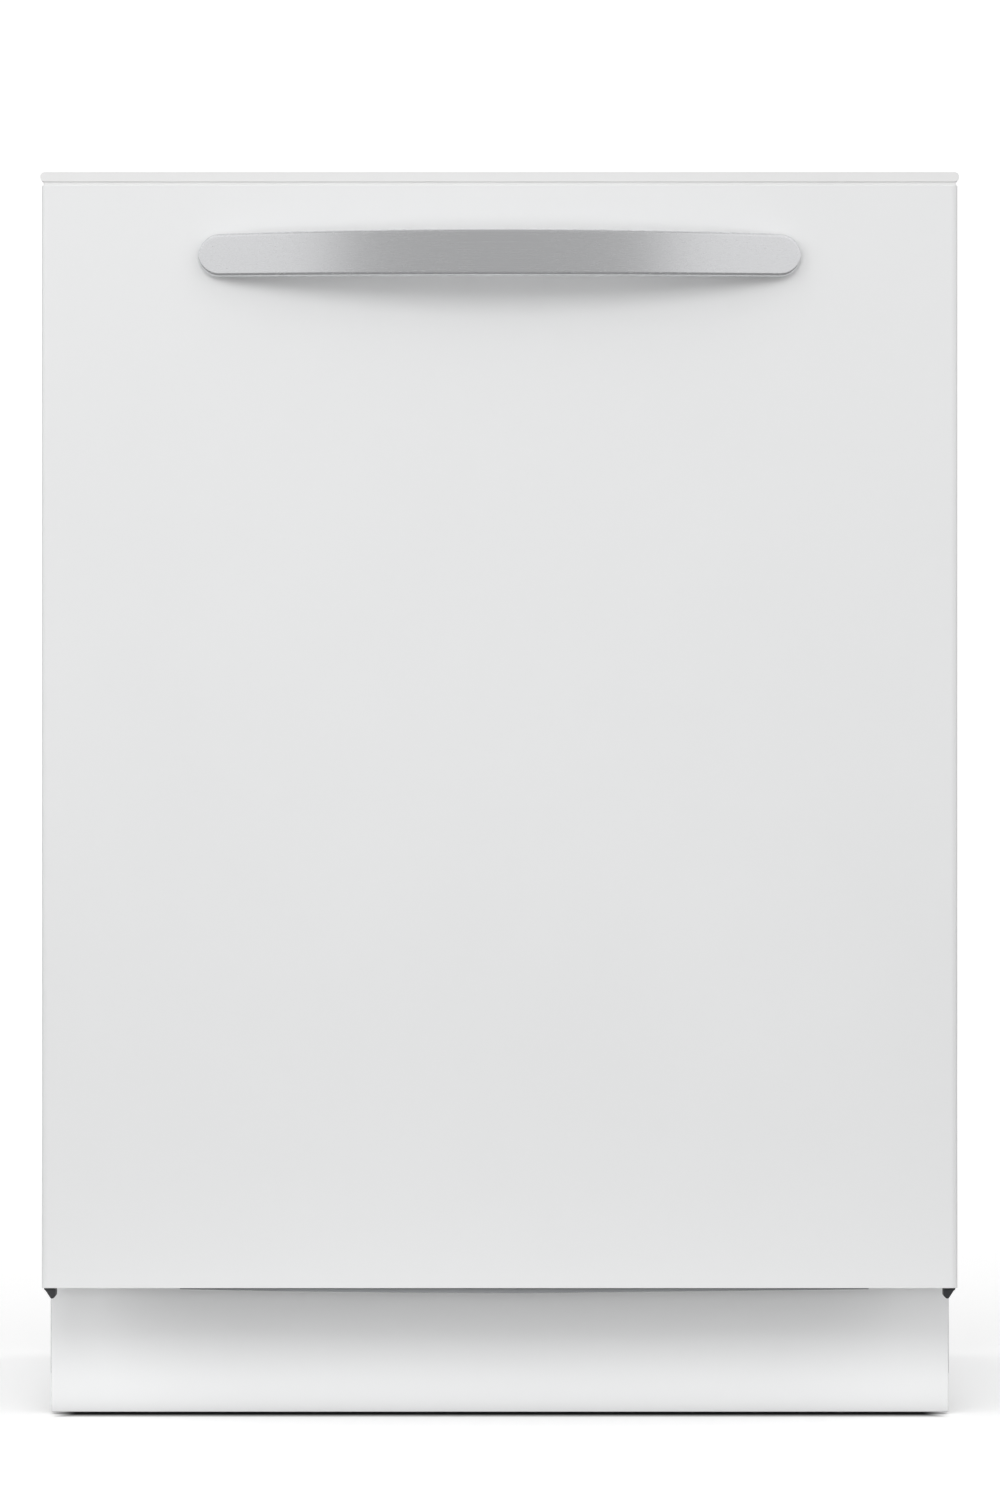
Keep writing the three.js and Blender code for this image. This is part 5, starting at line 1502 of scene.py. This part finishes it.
class DISHWASHER_OT_wheels(bpy.types.Operator):
    """Rack wheels with dished faces and spokes"""

    bl_idname = "dishwasher.wheels"
    bl_label = "Rack Wheels"

    def execute(self, context):
        hub, bore, web, bevel = 7 * MM, 3.3 * MM, 1.6 * MM, 1.2 * MM
        for node in WHEELS:
            low, high = corners(node)
            centre = centre_of(node, "x")
            radius = (high.z - low.z) / 2
            x0, x1 = low.x, high.x
            tread = Shape().lathe(
                [
                    (radius - 4 * MM, x0), (radius - MM, x0), (radius, x0 + bevel), (radius, x1 - bevel),
                    (radius - MM, x1), (radius - 4 * MM, x1), (radius - 4 * MM, x0),
                ],
                "x", centre, 56,
            )
            tread.lathe(
                [
                    (bore, x0), (hub - MM, x0), (hub, x0 + MM), (hub, x1 - MM),
                    (hub - MM, x1), (bore, x1), (bore, x0),
                ],
                "x", centre, 32,
            )
            mid = (x0 + x1) / 2
            near, far = mid - web / 2, mid + web / 2
            inner, outer = hub - MM, radius - 3 * MM
            tread.lathe(
                [(inner, near), (outer, near), (outer, far), (inner, far), (inner, near)], "x", centre, 40
            )
            meshes = [tread.done()]
            half = 1.1 * MM
            spoke = Shape().box((x0 + 0.8 * MM, -half, inner), (x1 - 0.8 * MM, half, outer)).done()
            spokes = 6
            for i in range(spokes):
                turned = spoke.copy()
                angle = 2 * math.pi * i / spokes
                turned.transform(Matrix.Translation((0, *centre)) @ Matrix.Rotation(angle, 4, "X"))
                meshes.append(turned)
            keep(node + "_spoked", joined(meshes), "grey_plastic", node)
        return {"FINISHED"}


class DISHWASHER_OT_upper_rack(bpy.types.Operator):
    """Upper rack's wires, runners and spray hub, and the cup shelves"""

    bl_idname = "dishwasher.upper_rack"
    bl_label = "Upper Rack"

    def execute(self, context):
        low, high = corners("upper_rack")
        arm_high = corners("upper_spray_arm")[1]
        size = sizes()
        thin, thick = size.wire_radius, size.rim_radius
        grid = high.z - 118 * MM
        rim = high.z - thick
        half = high.x - 8 * MM
        front = low.y + thick
        rear = corners("lower_rack")[1].y - thick
        under = grid - thin
        inner = half - thick - thin - 0.2 * MM
        meshes = []
        count = 15
        first, last = front + 12 * MM, rear - 12 * MM
        meshes.append(wires(
            [(-inner, first, rim), (-inner, first, under), (inner, first, under), (inner, first, rim)],
            count, (0, spread(first, last, count), 0),
        ))
        side = inner - 12 * MM
        along = 11
        y0, y1, bed = front + thick, rear - thick, grid + 1.5 * thin
        meshes.append(wires(
            [(-side, y0, rim), (-side, y0, bed), (-side, y1, bed), (-side, y1, rim)],
            along, (spread(-side, side, along), 0, 0),
        ))
        for level, gauge in ((rim, thick), ((rim + grid) / 2, thin)):
            meshes.append(hoop(half - thick, front, rear, level, gauge))
        tine_count = 17
        for x in (-52 * MM, 52 * MM):
            start, stop = front + 24 * MM, rear - 24 * MM
            step = (0, spread(start, stop, tine_count), 0)
            meshes.append(tine_row(x, start, grid, tine_count, step, 52 * MM, thin))
        runner_low = corners("upper_rail_right")[0].z + 5 * MM
        for sign in SIDES.values():
            x0, x1 = sorted((sign * (high.x - 6 * MM), sign * high.x))
            bar = Shape().box((x0, front + 18 * MM, runner_low), (x1, rear + thick, runner_low + 10 * MM))
            meshes.append(rounded(bar.done(), 1.2 * MM, 3))
            for at in (front + 40 * MM, rear - 40 * MM):
                x0, x1 = sorted((sign * (inner + 0.5 * MM), sign * (high.x - 5 * MM)))
                foot, head = (grid + rim) / 2, runner_low + 8 * MM
                lug = Shape().box((x0, at - 10 * MM, foot), (x1, at + 10 * MM, head))
                meshes.append(rounded(lug.done(), 0.8 * MM, 2))
        middle = centre_of("upper_spray_arm", "z")[1]
        dock = arm_high.z + 10.4 * MM
        hub = Shape().lathe(
            [
                (5 * MM, low.z), (7 * MM, low.z + 2 * MM), (7 * MM, dock - 2 * MM),
                (12 * MM, dock - 2 * MM), (12 * MM, grid - MM), (11 * MM, grid + MM),
            ],
            "z", (0, middle), 48,
        )
        duct = Shape().box((-11 * MM, middle, dock - 8 * MM), (11 * MM, high.y, dock + 8 * MM))
        wide, deep, thick = 62 * MM, 14 * MM, 1.4 * MM
        plate = Shape().box((-wide, middle - deep, grid - thick), (wide, middle + deep, grid + thick))
        hanger = Shape().box((-9 * MM, rear - 60 * MM, dock), (9 * MM, rear - 24 * MM, grid + MM))
        meshes.append(hub.done())
        meshes += [rounded(part.done(), 1.3 * MM, 3) for part in (duct, plate, hanger)]
        keep("upper_rack_wires", joined(meshes), "wire_coat", "upper_rack", 60)
        for side_name in SIDES:
            soften("cup_shelf_" + side_name, 0.7 * MM, 3)
        return {"FINISHED"}


# ---- Stage -----------------------------------------------------------------------------------


class DISHWASHER_OT_stage(bpy.types.Operator):
    """Pale floor, soft lights and camera"""

    bl_idname = "dishwasher.stage"
    bl_label = "Stage"

    def execute(self, context):
        scene = context.scene
        scene.view_settings.view_transform = "Standard"
        low, high = Vector(frame_box[0]), Vector(frame_box[1])
        face = corners("door_outer_panel")[0].y

        reach = 14.0
        rise = 6.0
        bend = 2.0
        far = 7.0
        profile = [(-reach, 0.0), (far, 0.0)]
        profile += [(far + u, bend + v) for u, v in arc((0, 0), bend, -90, 0, 16)]
        profile += [(far + bend, rise)]
        floor = Shape()
        rows = [[floor.mesh.verts.new((x, y, z)) for x in (-reach, reach)] for y, z in profile]
        for this, following in zip(rows, rows[1:]):
            floor.mesh.faces.new((this[0], this[1], following[1], following[0]))
        mesh = bpy.data.meshes.new("studio_floor")
        floor.mesh.to_mesh(mesh)
        floor.mesh.free()
        for polygon in mesh.polygons:
            polygon.use_smooth = True
        backdrop = bpy.data.objects.new("studio_floor", mesh)
        scene.collection.objects.link(backdrop)
        mesh.materials.append(floor_material(-corners("toe_panel")[0].y))

        world = bpy.data.worlds.new("Studio")
        scene.world = world
        world.use_nodes = True
        tree = Tree(world.node_tree)
        world.node_tree.nodes.clear()
        generated = tree.add("ShaderNodeTexCoord").outputs["Generated"]
        direction = tree.add("ShaderNodeSeparateXYZ", Vector=generated)
        behind = tree.ramp(direction.outputs["Y"], -0.1, 0.2, 0.60, 1.02)
        aside = tree.ramp(tree.math("ABSOLUTE", direction.outputs["X"]), 0.36, 0.46, 0.0, 0.55)
        strength = tree.math("MINIMUM", tree.math("ADD", behind, aside), 1.15)
        light = tree.add("ShaderNodeBackground", Strength=strength)
        tree.add("ShaderNodeOutputWorld", Surface=light.outputs[0])

        def lamp(name, at, aim, size, power):
            data = bpy.data.lights.new(name, "AREA")
            data.shape = "RECTANGLE"
            data.size, data.size_y = size
            data.energy = power
            made = bpy.data.objects.new(name, data)
            made.location = at
            made.rotation_euler = (Vector(aim) - Vector(at)).to_track_quat("-Z", "Y").to_euler()
            made.visible_glossy = False
            scene.collection.objects.link(made)

        middle = (0.0, face, (low.z + high.z) / 2)
        lamp("Key", (-2.2, face - 1.5, 1.5), middle, (1.4, 1.4), 14.0)
        lamp("Top", (-0.2, face - 2.4, 1.7), middle, (1.4, 0.9), 16.0)
        lamp("Fill", (2.2, face - 1.5, 1.5), middle, (1.4, 1.4), 9.0)
        lamp("Low", (-0.2, face - 2.5, 0.3), middle, (2.0, 0.4), 8.0)

        camera_data = bpy.data.cameras.new("Camera")
        camera_data.sensor_fit = "VERTICAL"
        camera_data.sensor_height = 36.0
        camera_data.lens = 178.7
        camera_data.clip_end = 100.0
        camera = bpy.data.objects.new("Camera", camera_data)
        camera.location = (0.0002, face - 4.86, 0.4398)
        camera.rotation_euler = (math.pi / 2, 0.0, 0.0)
        scene.collection.objects.link(camera)
        scene.camera = camera
        return {"FINISHED"}


# ---- Panel, registration and the run ---------------------------------------------------------

STEPS = (
    DISHWASHER_OT_stage,
    DISHWASHER_OT_door_panels,
    DISHWASHER_OT_handle,
    DISHWASHER_OT_console,
    DISHWASHER_OT_door_liner,
    DISHWASHER_OT_dispenser,
    DISHWASHER_OT_tub,
    DISHWASHER_OT_frame,
    DISHWASHER_OT_springs,
    DISHWASHER_OT_feet,
    DISHWASHER_OT_sump,
    DISHWASHER_OT_spray_arms,
    DISHWASHER_OT_pumps,
    DISHWASHER_OT_lower_rack,
    DISHWASHER_OT_basket,
    DISHWASHER_OT_wheels,
    DISHWASHER_OT_upper_rack,
)


class DISHWASHER_PT_build(bpy.types.Panel):
    """Lists the sizes, the colours and every step"""

    bl_idname = "DISHWASHER_PT_build"
    bl_label = "Dishwasher"
    bl_space_type = "VIEW_3D"
    bl_region_type = "UI"
    bl_category = "Dishwasher"

    def draw(self, context):
        for settings in (context.scene.dishwasher_sizes, context.scene.dishwasher_colours):
            for name in settings.bl_rna.properties.keys():
                if name not in ("rna_type", "name"):
                    self.layout.prop(settings, name)
        for step in STEPS:
            self.layout.operator(step.bl_idname)


CLASSES = (DishwasherSizes, DishwasherColours) + STEPS + (DISHWASHER_PT_build,)


def register():
    for entry in CLASSES:
        bpy.utils.register_class(entry)
    bpy.types.Scene.dishwasher_sizes = bpy.props.PointerProperty(type=DishwasherSizes)
    bpy.types.Scene.dishwasher_colours = bpy.props.PointerProperty(type=DishwasherColours)


def unregister():
    del bpy.types.Scene.dishwasher_colours
    del bpy.types.Scene.dishwasher_sizes
    for entry in reversed(CLASSES):
        bpy.utils.unregister_class(entry)


def main():
    register()
    for step in STEPS:
        group, name = step.bl_idname.split(".")
        getattr(getattr(bpy.ops, group), name)()


if __name__ == "__main__":
    main()
